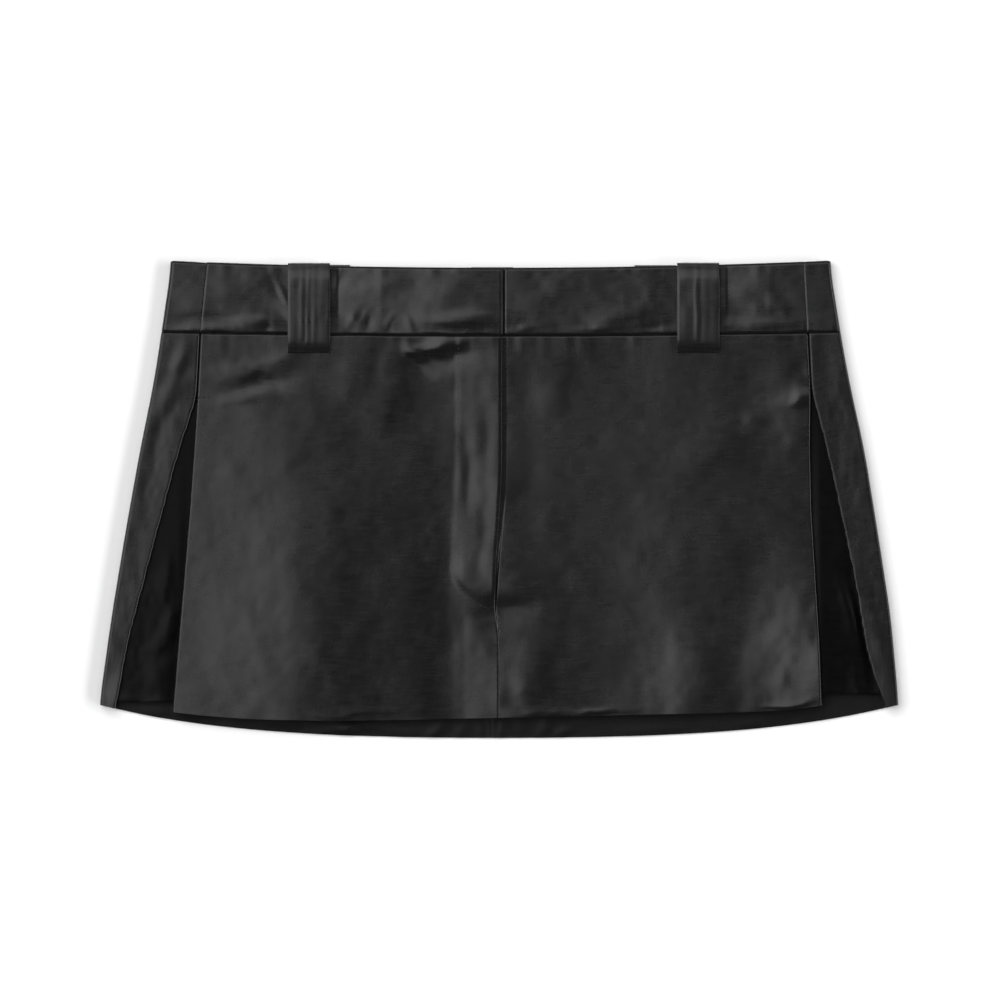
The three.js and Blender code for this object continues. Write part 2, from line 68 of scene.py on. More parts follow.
# Outline of the flat garment.
TOP_Y = CAD_HIGH.y / MM
HEM_Y = CAD_LOW.y / MM
HEM_HALF = CAD_HIGH.x / MM
TOP_DIP = 4.2
WAIST_HALF = 197
HEM_CORNER_RISE = {"square": 9, "fourth": 11}
SIDES = {
    "y": (141, 98, 70, 30, -20, -70, -123, -150),
    "right": (196.7, 203, 207.3, 215.5, 224.4, 232.6, HEM_HALF, HEM_HALF),
    "left": (198.6, 205.4, 210.5, 219.4, 227.5, 235.2, HEM_HALF, HEM_HALF),
}
# A table's corners are rounded by the mean of its values at these steps up and down.
ROUNDING = {"side": (-12, -4, 4, 12), "pleat": (-6, -2, 2, 6)}

# Lines across the body.
BAND_SEAM_Y = 98.8
BAND_SEAM_RISE = 2
FRONT_HEM_Y = -130.8
FRONT_HEM_TILT = 0.022
FRONT_HEM_RISE = {"right": (8, 4), "left": (4, 10)}
UNDERLAY_ABOVE_HEM = 6
SHORTS_HEM_Y = -92
CENTRE_BACK_X = -4
SEAM_GAP = 0.3

# Middle height of each layer, and the cloth in it.
LAYER = {
    "back": 0.6,
    "shorts_back": 2.0,
    "shorts_front": 3.3,
    "underlay": 4.65,
    "shield": 5.1,
    "front": 7.75,
    "band_back": 1.2,
    "band_front": 7.2,
}
CLOTH = 1.0
THIN_CLOTH = 0.8
BAND_CLOTH = 2.2
FOLD_REACH = 1.1
TURN_RADIUS = 0.85

# Side pleats: how far out the front panel and the side panel turn under at each height.
PLEATS = {
    "right": {
        "y": (145, 101, 61, 31, -10, -47, -84, -124, -140),
        "front": (177, 179.2, 181.2, 183.2, 186.2, 189.3, 192.5, 195.8, 197.1),
        "side": (177, 179.2, 181.2, 191.1, 202.4, 212.2, 222, 229.4, 232.4),
    },
    "left": {
        "y": (145, 101, 64, 32, -8, -50, -86, -104, -122, -140),
        "front": (183.2, 185.4, 187.2, 186.8, 187.8, 190.4, 192.5, 193.2, 193.8, 194.4),
        "side": (183.2, 185.4, 187.2, 195.6, 204.6, 213.4, 219.2, 223.6, 231, 238.4),
    },
}
PLEAT_HEAD = {"right": 61, "left": 64}
PLEAT_WAVE = {"front": 0.1, "side": 0.35, "from_y": 64, "full_y": 50, "lump": 3.1, "seed": 88}
FRONT_TURN = {"seam": 4, "hem": 28}
SIDE_TURN = 2.5
HAIRPIN_ANGLES = {"front": (75, -90), "side": (105, 270)}
HAIRPIN_PRESS = 0.6
FOLD_ARC = 80
FOLD_PRESS = 0.6
SIDE_FOLD_TOP = {"right": 7.8, "left": 7.9}
UNDERLAY_REACH = {"below": 3, "head": 8, "hem": 26, "side": 6, "fold": 6}
# How far out, and how far below the middle, the underlay's folds begin and are full.
UNDERLAY_RELIEF = {
    "out": (190, 200),
    "below": (20, 60),
    "hollow_out": (200, 212),
    "swell_out": (187, 193),
    "least": -1.4,
    "most": 0.9,
    "uneven": 0.2,
}
UNDERLAY_SWELL = {"right": 0.4, "left": 1.3, "reach": 12}

# Fly. The right front laps over the left one down to the fly's foot.
FLY = {"top_x": 1.6, "foot_x": -2.6, "bend_y": 30, "foot_y": -62, "seam_x": 0}
LAP = {
    "width": 8,
    "end_y": -58,
    "closed_y": -68,
    "flat_y": -86,
    "drop": 0.95,
    "foot_drop": 1.25,
    "sunk": 1.5,
    "deep_y": (-52, -24),
    "gap": 2.7,
    "gap_least": 0.15,
    "gap_power": 0.6,
    "gap_end_y": -67,
    "gap_full_y": -2,
    "rise": 0.6,
    "level_y": -76,
}
LEFT_LOW = {"drop": 1.5, "reach": 124, "power": 1.6, "from_y": -80, "to_y": 6}
FLY_STRIP = {
    "width": 27.5,
    "rise": 0.62,
    "rise_power": 0.9,
    "uneven_from": 0.15,
    "foot_centre_y": -40,
    "foot_round": 1.6,
    "foot_length": (7, 14),
    "foot_start": -0.3,
}
# Forms of the strip: its stitched ledge, its plump foot, a hollow down it and a short deep one.
STRIP_LEDGE = {"rise": 0.12, "width": 2.4}
STRIP_PLUMP = {"rise": 0.85, "y": -44, "half": 12, "full": 0.3}
STRIP_HOLLOW = {"depth": 0.13, "inward": 8.7, "half": 3.8, "foot": (-62, -40), "head": (44, 60)}
STRIP_LENS = {"depth": 0.26, "inward": 19.5, "half": 3.4, "y": 12, "half_length": 17}
FOOT_DENT = {"x": 3, "y": -66, "reach": (14, 24), "up": 9, "down": 26, "depth": 1.15}
CENTRE_RISE = {
    "height": 0.78,
    "right": 21,
    "left": 55,
    "right_below": (67, 74),
    "left_below": (62, 104),
}
SHIELD = {"inner": -30, "outer": 7, "foot_y": -65, "foot_slope": 0.25}
FLY_CROWD = {
    "height": 0.8,
    "foot_y": 62,
    "full_y": 86,
    "middle_x": -11,
    "flat": 19,
    "fade": (35, 80),
}

# How seams and edges roll down: depth and reach, and a power where it isn't the usual one.
TOP_ROLL = (1.0, 1.1)
BACK_SEAM = {"ridge": 0.35, "half": 3.5, "roll": (0.35, 1.2)}
FLY_ROLL = {"open": (0.35, 2, 1.6), "closed": (0.35, 1.2, 1.6), "left_drop": 0.35, "left_fade": 9}
BAND_ROLL = {
    "top": (0.8, 0.9),
    "seam": (0.9, 1.2),
    "side": (0.5, 0.05),
    "fly": (0.3, 1.5, 1.5),
}
STRAP_ROLL = (0.25, 1.2)
# How far the rim of each kind of wall is rounded.
RIM = {"plain": 0.35, "front": 0.22, "band": 0.12, "strap": 0.4}

# Waistband ends, belt loops and shorts.
BAND_SIDE_SEAM = {"right": (174.8, 179.2), "left": (183, 185.4)}
BAND_LAP = {
    "tongue": 26,
    "tongue_z": 6.05,
    "tongue_lean": 0.5,
    "step_from": 1.9,
    "step_to": 2.5,
    "lapped_z": 8.7,
    "ramp_from": 20,
    "ramp_to": 80,
}
BACK_BAND = {"lower": 1.3, "lower_to": (150, 190), "relief": 0.3}
BAND_CRUMPLE = {
    "seam_reach": 10,
    "top_reach": 6,
    "rise": 0.1,
    "crowded_rise": 0.15,
    "crowded_x": -76,
    "crowded_half": 26,
    "slant": 0.5,
}
# The band is pressed down beside each front loop, from its seam up.
BAND_PRESS = {"depth": 1.3, "edge": 4.5, "fade": 26, "from_y": 98, "full_y": 120}
LOOP = {
    "width": 25,
    "cloth": 1.2,
    "drop": 52,
    "band_face": 1.2,
    "stand": 3.2,
    "crown": 0.25,
    "shoulder": 9.8,
    "neck": 4.2,
    "neck_part": 0.62,
    "turn_under": 6,
    "foot_radius": 0.65,
    "foot_gap": 0.15,
    "foot_slope": 6.5,
    "over_top": 1.3,
    "back_clear": 0.05,
    "back_over": 2.4,
    "allowance": 1,
}
# The ridges of a strap start past its turned foot and fade where it goes over the edge.
RIDGE_FADE = {"start": (6, 16), "end": (50, 62), "lost": 0.6}
# How they sway aside and swell: the rise, the lump along the strap and the first seed.
RIDGE_SWAY = (0.5, 14, 71)
RIDGE_SWELL = (0.6, 13, 70)
RIDGE_LEAST = 0.75
FRONT_LOOPS = {"right": -114, "left": 119.5}
BACK_LOOPS = {"right": -102, "centre": -4, "left": 94}
LOOP_LIFT = {"height": 1.5, "flat": 14, "fade": 26, "foot_y": 88, "end_y": 68}
CROTCH = {"y": -48, "foot_y": -62, "parting": 14}
SHORTS_SIDE = {"waist": 190, "hem": 206}

SIGN = {"right": -1, "left": 1}

# ---- The cut, the folds and the unevenness of the cloth -----------------------------------

# Area of each pleat underlay as it is cut, in square millimetres.
UNDERLAY_AREA = 7700

# Unevenness of the cloth: its rise, the sizes of its lumps along X and Y, and its seed.
UNEVEN = {
    "wash_grain": (0.016, 4.6, 3.8, 3),
    "wash_fine": (0.007, 2.4, 2.1, 4),
    "wash_crumple": (0.055, 10, 9, 5),
    "wash_cloud": (0.17, 26, 28, 6),
    "bend_x": (2.2, 12, 16, 81),
    "bend_x_fine": (0.8, 5, 6, 83),
    "bend_y": (2.2, 16, 12, 82),
    "bend_y_fine": (0.8, 6, 5, 84),
    "top_roll": (0.35, 11, 60, 19),
    "centre_rise": (0.12, 8, 10, 85),
    "lap_gap": (0.06, 9, 9, 16),
    "strip": (0.09, 7, 17, 86),
    "strip_ledge": (0.8, 16, 16, 87),
    "hollow_wander": (1.6, 19, 19, 15),
    "hollow_depth": (0.11, 17, 17, 18),
    "shorts": (0.05, 18, 30, 51),
    "band_top": (0.12, 5, 6, 62),
    "band": (0.14, 13, 10, 63),
    "band_fine": (0.05, 5, 4.5, 64),
    "band_seam_roll": (0.5, 13, 60, 65),
    "strap": (0.08, 4, 8, 73),
}
CREASE_LUMP = (7, 11)
FINE_LUMP = (3, 5)
FINE_SHARE = 0.5
WASH_SHIFT = 2
WASH_SLANT = 0.4
BAND_PINCH = (6, 8, 61)
# Puckers along the seams of the fronts: rise, reach from the seam, lump sizes and seed.
PUCKERS = {
    "top": (0.16, 7, 4.5, 30, 11),
    "fly": (0.07, 5, 30, 6, 12),
    "hem": (0.1, 9, 9, 40, 13),
}

# Tables of folds, hollows and creases. Each row has the middle's x and y, the half length, the
# half width, the turn from the X axis in degrees, and the rise of the cloth there.
FRONT_FOLDS = [
    # Broad forms: the swell of the right front, and the valley beside it.
    (-121, -84, 122, 41, 88, 3.0),
    (-70, -80, 130, 40, 90, 0.9),
    (-178, -90, 110, 30, 88, 0.7),
    (-31, -70, 100, 14, 91, -0.65),
    (1, 4, 40, 11, 90, 0.55),
    (1, 72, 20, 11, 90, 0.45),
    (9, -54, 14, 8, 0, 0.45),
    (60, -70, 90, 30, 84, -0.8),
    (210, -106, 46, 46, 80, 5.0),
    (122, -112, 34, 22, 80, 1.7),
    (-146, 40, 40, 34, 20, 0.6),
    # Hollow under the waistband beside the fly, with a ridge along it.
    (-34, 92.5, 17, 4, 6, 1.2),
    (-50, 88, 8, 3.4, -50, 0.5),
    (-34, 83, 16, 5.5, 9, -0.7),
    (-38, 66, 22, 22, 9, -0.42),
    (-50, 82, 6, 4, -46, -0.3),
    # Hollows from the side towards the right loop.
    (-148, 80, 20, 5, 8, 0.55),
    (-144, 71, 17, 4.4, 8, -0.7),
    (-150, 61, 17, 3.4, 2, 0.4),
    (-128, 84, 14, 5, 30, 0.2),
    (-74, 78, 18, 5, 76, -0.16),
    (-64, 62, 22, 6, 72, 0.14),
    (-92, 66, 20, 7, 70, 0.16),
    # Pull from the left pleat's head.
    (180, 62, 7, 4, 4, 1.0),
    (168, 60, 9, 4, 14, 0.25),
    (180, 78, 7, 6, 20, -0.25),
    (152, 46, 8, 6, 30, 0.35),
    (124, 30, 20, 12, 24, 0.5),
    (186, 50, 22, 34, 84, 1.2),
    (30, 64, 15, 12, 70, 0.45),
    # Slanting folds at the left front's hem.
    (160, -104, 24, 6, 72, 0.07),
    (176, -84, 24, 5, 78, 0.14),
    (140, -92, 40, 11, 72, -0.35),
    (84, -92, 34, 14, 58, -0.16),
    (18, -110, 15, 11, 112, 0.7),
    (36, -92, 40, 12, 80, -0.2),
    # The front hem lifts along its turned edge.
    (46, -126.6, 30, 2.2, 1, 0.6),
    (174, -122, 14, 2.4, 3, 0.45),
    (-80, -128, 30, 2.2, 4, 0.25),
]

# ---- Arithmetic ---------------------------------------------------------------------------

# Unevenness repeats after this many lumps.
LUMPS = 64


def lerp(a, b, part):
    return a + (b - a) * part


def smoothstep(value, low, high):
    part = np.clip((value - low) / (high - low), 0, 1)
    return part * part * (3 - 2 * part)


def graded(length, fine, coarse, growth=1.3, edge=5):
    """Fractions from 0 to 1 of a length, close together at its ends and coarse between."""
    steps = [fine] * edge
    step = fine * growth
    while step < coarse and sum(steps) < length / 3:
        steps.append(step)
        step *= growth
    rest = length - 2 * sum(steps)
    middle = max(2, round(rest / coarse))
    steps = steps + [rest / middle] * middle + steps[::-1]
    return np.concatenate([[0], np.cumsum(steps)]) / length


def swells(x, y, table):
    """Sum of soft ridges and hollows at points x, y."""
    total = np.zeros(np.broadcast(x, y).shape)
    for middle_x, middle_y, length, width, turn, rise in table:
        angle = math.radians(turn)
        along = (x - middle_x) * math.cos(angle) + (y - middle_y) * math.sin(angle)
        across = (y - middle_y) * math.cos(angle) - (x - middle_x) * math.sin(angle)
        total += rise * np.exp(-((along / length) ** 2) - (across / width) ** 2)
    return total


def rumple(x, y, size_x, size_y, seed):
    """Smooth unevenness from -1 to 1, with lumps of the given sizes."""
    table = np.random.default_rng(seed).uniform(-1, 1, (LUMPS, LUMPS))
    column = np.asarray(x) / size_x
    row = np.asarray(y) / size_y
    left = np.floor(column).astype(int)
    below = np.floor(row).astype(int)
    across = smoothstep(column - left, 0, 1)
    up = smoothstep(row - below, 0, 1)

    def corner(i, j):
        return table[(left + i) % LUMPS, (below + j) % LUMPS]

    low = lerp(corner(0, 0), corner(1, 0), across)
    high = lerp(corner(0, 1), corner(1, 1), across)
    return lerp(low, high, up)


def uneven(kind, x, y):
    """A kind of unevenness of the cloth, from the table of kinds."""
    rise, *lump = UNEVEN[kind]
    return rise * rumple(x, y, *lump)


def roll(distance, depth, reach, power=1.2):
    """How far cloth rolls down towards an edge."""
    near = 1 - np.clip(distance / reach, 0, 1)
    return -depth * near**power


# ---- Lines of the pattern -----------------------------------------------------------------


def top_edge(x):
    return TOP_Y - TOP_DIP * (1 - (x / WAIST_HALF) ** 2)


def band_seam(x):
    return BAND_SEAM_Y + BAND_SEAM_RISE * (x / WAIST_HALF) ** 2


def band_bottom(x):
    return band_seam(x) + SEAM_GAP / 2


def body_top(x):
    return band_seam(x) - SEAM_GAP / 2


def back_hem(x):
    out = x / HEM_HALF
    return HEM_Y + HEM_CORNER_RISE["square"] * out**2 + HEM_CORNER_RISE["fourth"] * out**4


def front_hem(x):
    right_rise, right_power = FRONT_HEM_RISE["right"]
    left_rise, left_power = FRONT_HEM_RISE["left"]
    out = np.abs(x) / WAIST_HALF
    rise = np.where(x < 0, right_rise * out**right_power, left_rise * out**left_power)
    return FRONT_HEM_Y + FRONT_HEM_TILT * x + rise


def underlay_hem(x):
    return front_hem(np.clip(x, -WAIST_HALF, WAIST_HALF)) + UNDERLAY_ABOVE_HEM


def rounded(table, column, y, steps):
    """A column of a table that runs from the top down, at heights y."""
    heights = table["y"][::-1]
    values = table[column][::-1]
    return sum(np.interp(y + step, heights, values) for step in steps) / len(steps)


def half_width(hand, y):
    """How far out the side fold is at a height."""
    return rounded(SIDES, hand, y, ROUNDING["side"])


def pleat_edge(hand, panel, y):
    """How far out a panel turns under at a height. The edge is a little wavy."""
    lump = PLEAT_WAVE["lump"]
    wavy = PLEAT_WAVE[panel] * smoothstep(-y, -PLEAT_WAVE["from_y"], -PLEAT_WAVE["full_y"])
    line = rounded(PLEATS[hand], panel, y, ROUNDING["pleat"])
    return line + wavy * rumple(y, y, lump, lump, PLEAT_WAVE["seed"])


def pleat_opening(hand, y):
    head = PLEAT_HEAD[hand]
    return np.clip((head - y) / (head - FRONT_HEM_Y), 0, 1)


def fly_line(y):
    above = lerp(FLY["top_x"], FLY["foot_x"], smoothstep(-y, -FLY["bend_y"], -FLY["foot_y"]))
    below = lerp(FLY["foot_x"], FLY["seam_x"], smoothstep(-y, -FLY["foot_y"], -LAP["flat_y"]))
    return np.where(y > FLY["foot_y"], above, below)


# ---- Heights of the cloth -----------------------------------------------------------------


def loop_lift(x, y):
    """The back is lifted over the straps of the back belt loops."""
    lift = 0
    for middle in BACK_LOOPS.values():
        beside = smoothstep(np.abs(x - middle), LOOP_LIFT["flat"], LOOP_LIFT["fade"])
        lift = np.maximum(lift, 1 - beside)
    return LOOP_LIFT["height"] * lift * smoothstep(y, LOOP_LIFT["end_y"], LOOP_LIFT["foot_y"])


def strip_foot(beside, width):
    """The lowest point of the strip's round foot, at shares of its width from the fly."""
    power = FLY_STRIP["foot_round"]
    return FLY_STRIP["foot_centre_y"] - width * (1 - beside**power) ** (1 / power)


def strip_hollow(inward, y):
    """A wandering hollow down the strip, which ends above its foot and below the band."""
    wander = uneven("hollow_wander", y, y)
    middle = (inward - STRIP_HOLLOW["inward"] + wander) / STRIP_HOLLOW["half"]
    sunk = np.exp(-(middle**2)) * smoothstep(y, *STRIP_HOLLOW["foot"])
    depth = STRIP_HOLLOW["depth"] + uneven("hollow_depth", y, y)
    return depth * sunk * (1 - smoothstep(y, *STRIP_HOLLOW["head"]))


def strip_lens(inward, y):
    """A short hollow in the middle of the strip's length, near its stitched edge."""
    aside = (inward - STRIP_LENS["inward"]) / STRIP_LENS["half"]
    along = (y - STRIP_LENS["y"]) / STRIP_LENS["half_length"]
    return STRIP_LENS["depth"] * np.exp(-(aside**2) - along**2)


def fly_strip(x, y):
    """The stitched strip beside the fly rises to the fly, from a line that ends in a J."""
    inward = fly_line(y) - x
    width = FLY_STRIP["width"]
    foot = strip_foot(np.clip(inward / width, 0, 1), width)
    across = np.clip((width - inward) / width, 0, 1)
    above_foot = np.clip((y - foot) / lerp(*FLY_STRIP["foot_length"], across**2), 0, 1)
    ledge = STRIP_LEDGE["rise"] * (1 + uneven("strip_ledge", y, y))
    ledge = ledge * np.clip((width - inward) / STRIP_LEDGE["width"], 0, 1)
    plump = np.exp(-(((y - STRIP_PLUMP["y"]) / STRIP_PLUMP["half"]) ** 2))
    plump = STRIP_PLUMP["rise"] * plump * smoothstep(across, 0, STRIP_PLUMP["full"])
    bumps = uneven("strip", x, y) * smoothstep(across, 0, FLY_STRIP["uneven_from"])
    level = ledge + plump + FLY_STRIP["rise"] * across ** FLY_STRIP["rise_power"] + bumps
    level = level - strip_hollow(inward, y) - strip_lens(inward, y)
    return level * smoothstep(above_foot, FLY_STRIP["foot_start"], 1)


def centre_seam(x, y):
    """Below the fly's foot the cloth rises to the seam, from a pressed line on the right."""
    right = np.clip(1 + x / CENTRE_RISE["right"], 0, 1)
    left = np.exp(-((x / CENTRE_RISE["left"]) ** 2))
    right_below = smoothstep(-y, *CENTRE_RISE["right_below"])
    left_below = smoothstep(-y, *CENTRE_RISE["left_below"])
    height = CENTRE_RISE["height"] + uneven("centre_rise", x, y)
    return height * np.where(x < 0, right, left) * np.where(x < 0, right_below, left_below)


def lap_gap(y):
    """How wide the open groove beside the lap is at a height."""
    up = np.clip((y - LAP["gap_end_y"]) / (LAP["gap_full_y"] - LAP["gap_end_y"]), 0, 1)
    return LAP["gap_least"] + LAP["gap"] * up ** LAP["gap_power"] * (1 + uneven("lap_gap", y, y))


def foot_dent(x, y):
    """The cloth is drawn in round the fly's foot, and eases out below it."""
    reach = np.where(y > FOOT_DENT["y"], FOOT_DENT["up"], FOOT_DENT["down"])
    aside = np.where(x < FOOT_DENT["x"], *FOOT_DENT["reach"])
    away = ((x - FOOT_DENT["x"]) / aside) ** 2 + ((y - FOOT_DENT["y"]) / reach) ** 2
    return FOOT_DENT["depth"] * np.exp(-away)


def lap_drop(x, y):
    """The left front dips under the lap and comes back slowly beside it and below its foot."""
    closed = smoothstep(y, LAP["level_y"], LAP["closed_y"])
    beyond = x - fly_line(y)
    gap = lap_gap(y)
    drop = lerp(LAP["foot_drop"], LAP["drop"], smoothstep(y, *LAP["deep_y"]))
    sunk = lerp(drop, LAP["sunk"], np.clip(beyond / gap, 0, 1))
    out = np.clip((beyond - gap) / LAP["rise"], 0, 1)
    low = LEFT_LOW["drop"] * smoothstep(y, LEFT_LOW["from_y"], LEFT_LOW["to_y"])
    back = (1 - np.clip((beyond - gap) / LEFT_LOW["reach"], 0, 1)) ** LEFT_LOW["power"]
    return closed * sunk * (1 - out) + low * out * back


def fly_crowd(x, y):
    """The layers of the fly crowd each other just below the waistband."""
    fade = np.where(x < FLY_CROWD["middle_x"], *FLY_CROWD["fade"])
    beside = 1 - smoothstep(np.abs(x - FLY_CROWD["middle_x"]), FLY_CROWD["flat"], fade)
    return FLY_CROWD["height"] * beside * smoothstep(y, FLY_CROWD["foot_y"], FLY_CROWD["full_y"])


def washed(x, y):
    """The small unevenness that washing leaves in the satin."""
    grain = uneven("wash_grain", x, y) + uneven("wash_fine", x + WASH_SHIFT, y)
    cloud = uneven("wash_cloud", x, y + WASH_SLANT * x)
    return grain + uneven("wash_crumple", x, y) + cloud


def front_height(hand, x, y):
    """The fronts' folds, bent a little so that none is quite straight, and the fly's forms."""
    bent_x = x + uneven("bend_x", x, y) + uneven("bend_x_fine", x, y)
    bent_y = y + uneven("bend_y", x, y) + uneven("bend_y_fine", x, y)
    height = LAYER["front"] + swells(bent_x, bent_y, FRONT_FOLDS) - foot_dent(x, y)
    height = height + fly_crowd(x, y) + centre_seam(x, y)
    if hand == "right":
        return height + fly_strip(x, y)
    return height - lap_drop(x, y)


# ---- Making a piece -----------------------------------------------------------------------


def new_object(name, bm):
    """An object at the origin, with smooth faces, made from a bmesh."""
    mesh = bpy.data.meshes.new(name)
    bm.to_mesh(mesh)
    bm.free()
    mesh.polygons.foreach_set("use_smooth", np.ones(len(mesh.polygons), bool))
    made = bpy.data.objects.new(name, mesh)
    bpy.context.scene.collection.objects.link(made)
    return made


def lengths_along(points, axis):
    """How far each point of a grid is along its row or column, over the cloth."""
    start = points.take([0], axis=axis)
    steps = np.linalg.norm(np.diff(points, axis=axis, prepend=start), axis=-1)
    return np.cumsum(steps, axis=axis)


def lay_grid(node, x, y, z, cloth, materials, rim=RIM["plain"], flip=False):
    """A grid of bmesh cells laid on points in millimetres, made a wall of cloth.

    Its UV map is the cloth spread flat, in metres.
    """
    if flip:
        x, y, z = x[:, ::-1], y[:, ::-1], z[:, ::-1]
    rows, columns = x.shape
    bm = bmesh.new()
    bmesh.ops.create_grid(bm, x_segments=columns - 1, y_segments=rows - 1, size=1)
    points = np.stack([x, y, z], axis=-1) * MM
    place = []
    for vert in bm.verts:
        column = round((vert.co.x + 1) / 2 * (columns - 1))
        row = round((vert.co.y + 1) / 2 * (rows - 1))
        place.append((row, column))
        vert.co = points[row, column]
    piece = new_object(node + "_cloth", bm)
    mesh = piece.data
    spread_x = points[:, :1, 0] + lengths_along(points, 1)
    spread_y = points[0, 0, 1] + lengths_along(points, 0)
    row, column = np.array(place).T
    spread = np.stack([spread_x, spread_y], axis=-1)[row, column]
    corner = np.empty(len(mesh.loops), int)
    mesh.loops.foreach_get("vertex_index", corner)
    layer = mesh.uv_layers.new(name="cloth")
    layer.data.foreach_set("uv", spread[corner].astype(np.float32).ravel())
    for material in materials:
        mesh.materials.append(material)
    wall = piece.modifiers.new("cloth", "SOLIDIFY")
    wall.thickness = cloth * MM
    wall.offset = 0
    wall.material_offset = len(materials) - 1
    wall.use_rim = True
    rounding = piece.modifiers.new("rim", "BEVEL")
    rounding.width = rim * MM
    rounding.segments = 2
    rounding.limit_method = "ANGLE"
    rounding.angle_limit = math.radians(50)
    return piece


def settle(rows, sections, top, bottom):
    """Points of a grid, section by section across the cloth.

    A section is its columns' fractions and a function that places them at heights y. The
    heights follow the lower edge at the first row and the upper edge at the last one.
    """
    placed = []
    for parts, place in sections:
        down = rows[:, None]
        y = np.repeat(lerp(bottom(0.0), top(0.0), down), len(parts), axis=1)
        for _ in range(3):
            x, z = place(parts, y)
            y = lerp(bottom(x), top(x), down)
        x, z = place(parts, y)
        placed.append((x + 0 * y, y, z + 0 * y))
    return [np.concatenate([part[axis] for part in placed], axis=1) for axis in range(3)]


def finish_piece(piece, node, area=None):
    """Rides on the one body and stands for its node."""
    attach(piece, "root")
    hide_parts(node)
    if area:
        area *= MM**2


def turn_under(turn, z, radius, angles, sign, pressed=1):
    """Places the hairpin of a turned-under edge. Below 1, it is pressed to tighter corners."""
    out = np.sign(np.cos(angles)) * np.abs(np.cos(angles)) ** pressed
    up = np.sign(np.sin(angles)) * np.abs(np.sin(angles)) ** pressed
    return sign * (turn + radius * out), z - radius + radius * up


def wrinkled(x, y, table, seed, size):
    """Creases given in a table, with the unevenness of washed cloth in coarse and fine lumps."""
    fine = FINE_SHARE * rumple(x, y, *FINE_LUMP, seed + 1)
    return swells(x, y, table) + size * (rumple(x, y, *CREASE_LUMP, seed) + fine)


# ---- Body pieces --------------------------------------------------------------------------


def pucker(seam, distance, x, y):
    """Puckers along a seam of the fronts, at a distance from it."""
    rise, reach, *lump = PUCKERS[seam]
    return rise * (rumple(x, y, *lump) * np.exp(-np.clip(distance, 0, None) / reach))


def front_skin(hand, x, y):
    """The middle of a front panel's cloth, with its seams rolled and puckered."""
    from_fly = SIGN[hand] * (x - fly_line(y))
    from_top = body_top(x) - y
    closed = smoothstep(-y, -LAP["end_y"], -LAP["closed_y"])
    depth, reach = TOP_ROLL
    z = front_height(hand, x, y) + washed(x, y)
    z = z + roll(from_top, depth, reach + uneven("top_roll", x, y))
    z = z + pucker("top", from_top, x, y)
    if hand == "right":
        z = z + (1 - closed) * roll(from_fly, *FLY_ROLL["open"])
        z = z + closed * roll(from_fly, *FLY_ROLL["closed"])
    else:
        fade = np.exp(-np.clip(from_fly, 0, None) / FLY_ROLL["left_fade"])
        z = z - closed * FLY_ROLL["left_drop"] * fade
    z = z + pucker("fly", np.abs(from_fly), x, y)
    return z + pucker("hem", y - front_hem(x), x, y)


def front_panel(hand, materials):
    """From the fly to the pleat, where it turns under and comes back below itself."""
    sign = SIGN[hand]

    def start(y):
        overlap = 1 - smoothstep(-y, -LAP["end_y"], -LAP["closed_y"])
        butt = SEAM_GAP / 2 * (1 - overlap)
        under = LAP["width"] * overlap if hand == "left" else 0
        return sign * fly_line(y) + butt - under

    def turn(y):
        return pleat_edge(hand, "front", y) - SEAM_GAP / 2 - CLOTH / 2 - TURN_RADIUS

    def flat(parts, y):
        x = sign * lerp(start(y), turn(y), parts)
        return x, front_skin(hand, x, y)

    def hairpin(parts, y):
        angles = np.radians(lerp(*HAIRPIN_ANGLES["front"], parts))
        edge = turn(y)
        z = front_skin(hand, sign * edge, y)
        return turn_under(edge, z, TURN_RADIUS, angles, sign, HAIRPIN_PRESS)

    def under(parts, y):
        depth = lerp(FRONT_TURN["seam"], FRONT_TURN["hem"], pleat_opening(hand, y))
        x = sign * (turn(y) - depth * parts)
        return x, front_skin(hand, x, y) - 2 * TURN_RADIUS

    def level(parts, y):
        x = lerp(fly_line(y) + lap_gap(y) + LAP["rise"], turn(y), parts)
        return x, front_skin(hand, x, y)

    def groove(parts, y):
        x = lerp(start(y), fly_line(y) + lap_gap(y), parts)
        return x, front_skin(hand, x, y)

    def step(parts, y):
        x = fly_line(y) + lap_gap(y) + LAP["rise"] * parts
        return x, front_skin(hand, x, y)

    to_side = [(graded(192, fine=0.25, coarse=1.45, edge=8), flat)]
    if hand == "left":
        to_side = [
            (np.linspace(0, 1, 13), groove),
            (np.array([0.15, 0.45, 0.75, 0.95]), step),
            (graded(185, fine=0.16, coarse=1.45, edge=6), level),
        ]
    sections = [
        *to_side,
        (np.linspace(0, 1, 11), hairpin),
        (np.linspace(0.06, 1, 12), under),
    ]
    x, y, z = settle(graded(230, fine=0.22, coarse=1.5), sections, body_top, front_hem)
    piece = lay_grid(f"front_{hand}", x, y, z, CLOTH, materials, rim=RIM["front"], flip=sign < 0)
    finish_piece(piece, f"front_{hand}")


def round_the_side(fold, low, high, angles):
    """A pressed fold: a small round at the top and the bottom, and a nearly upright side."""
    middle = (low + high) / 2
    upright = np.sign(np.sin(angles)) * np.abs(np.sin(angles)) ** FOLD_PRESS
    out = fold - FOLD_REACH + FOLD_REACH * np.cos(angles) ** FOLD_PRESS
    return out, middle + (high - middle) * upright


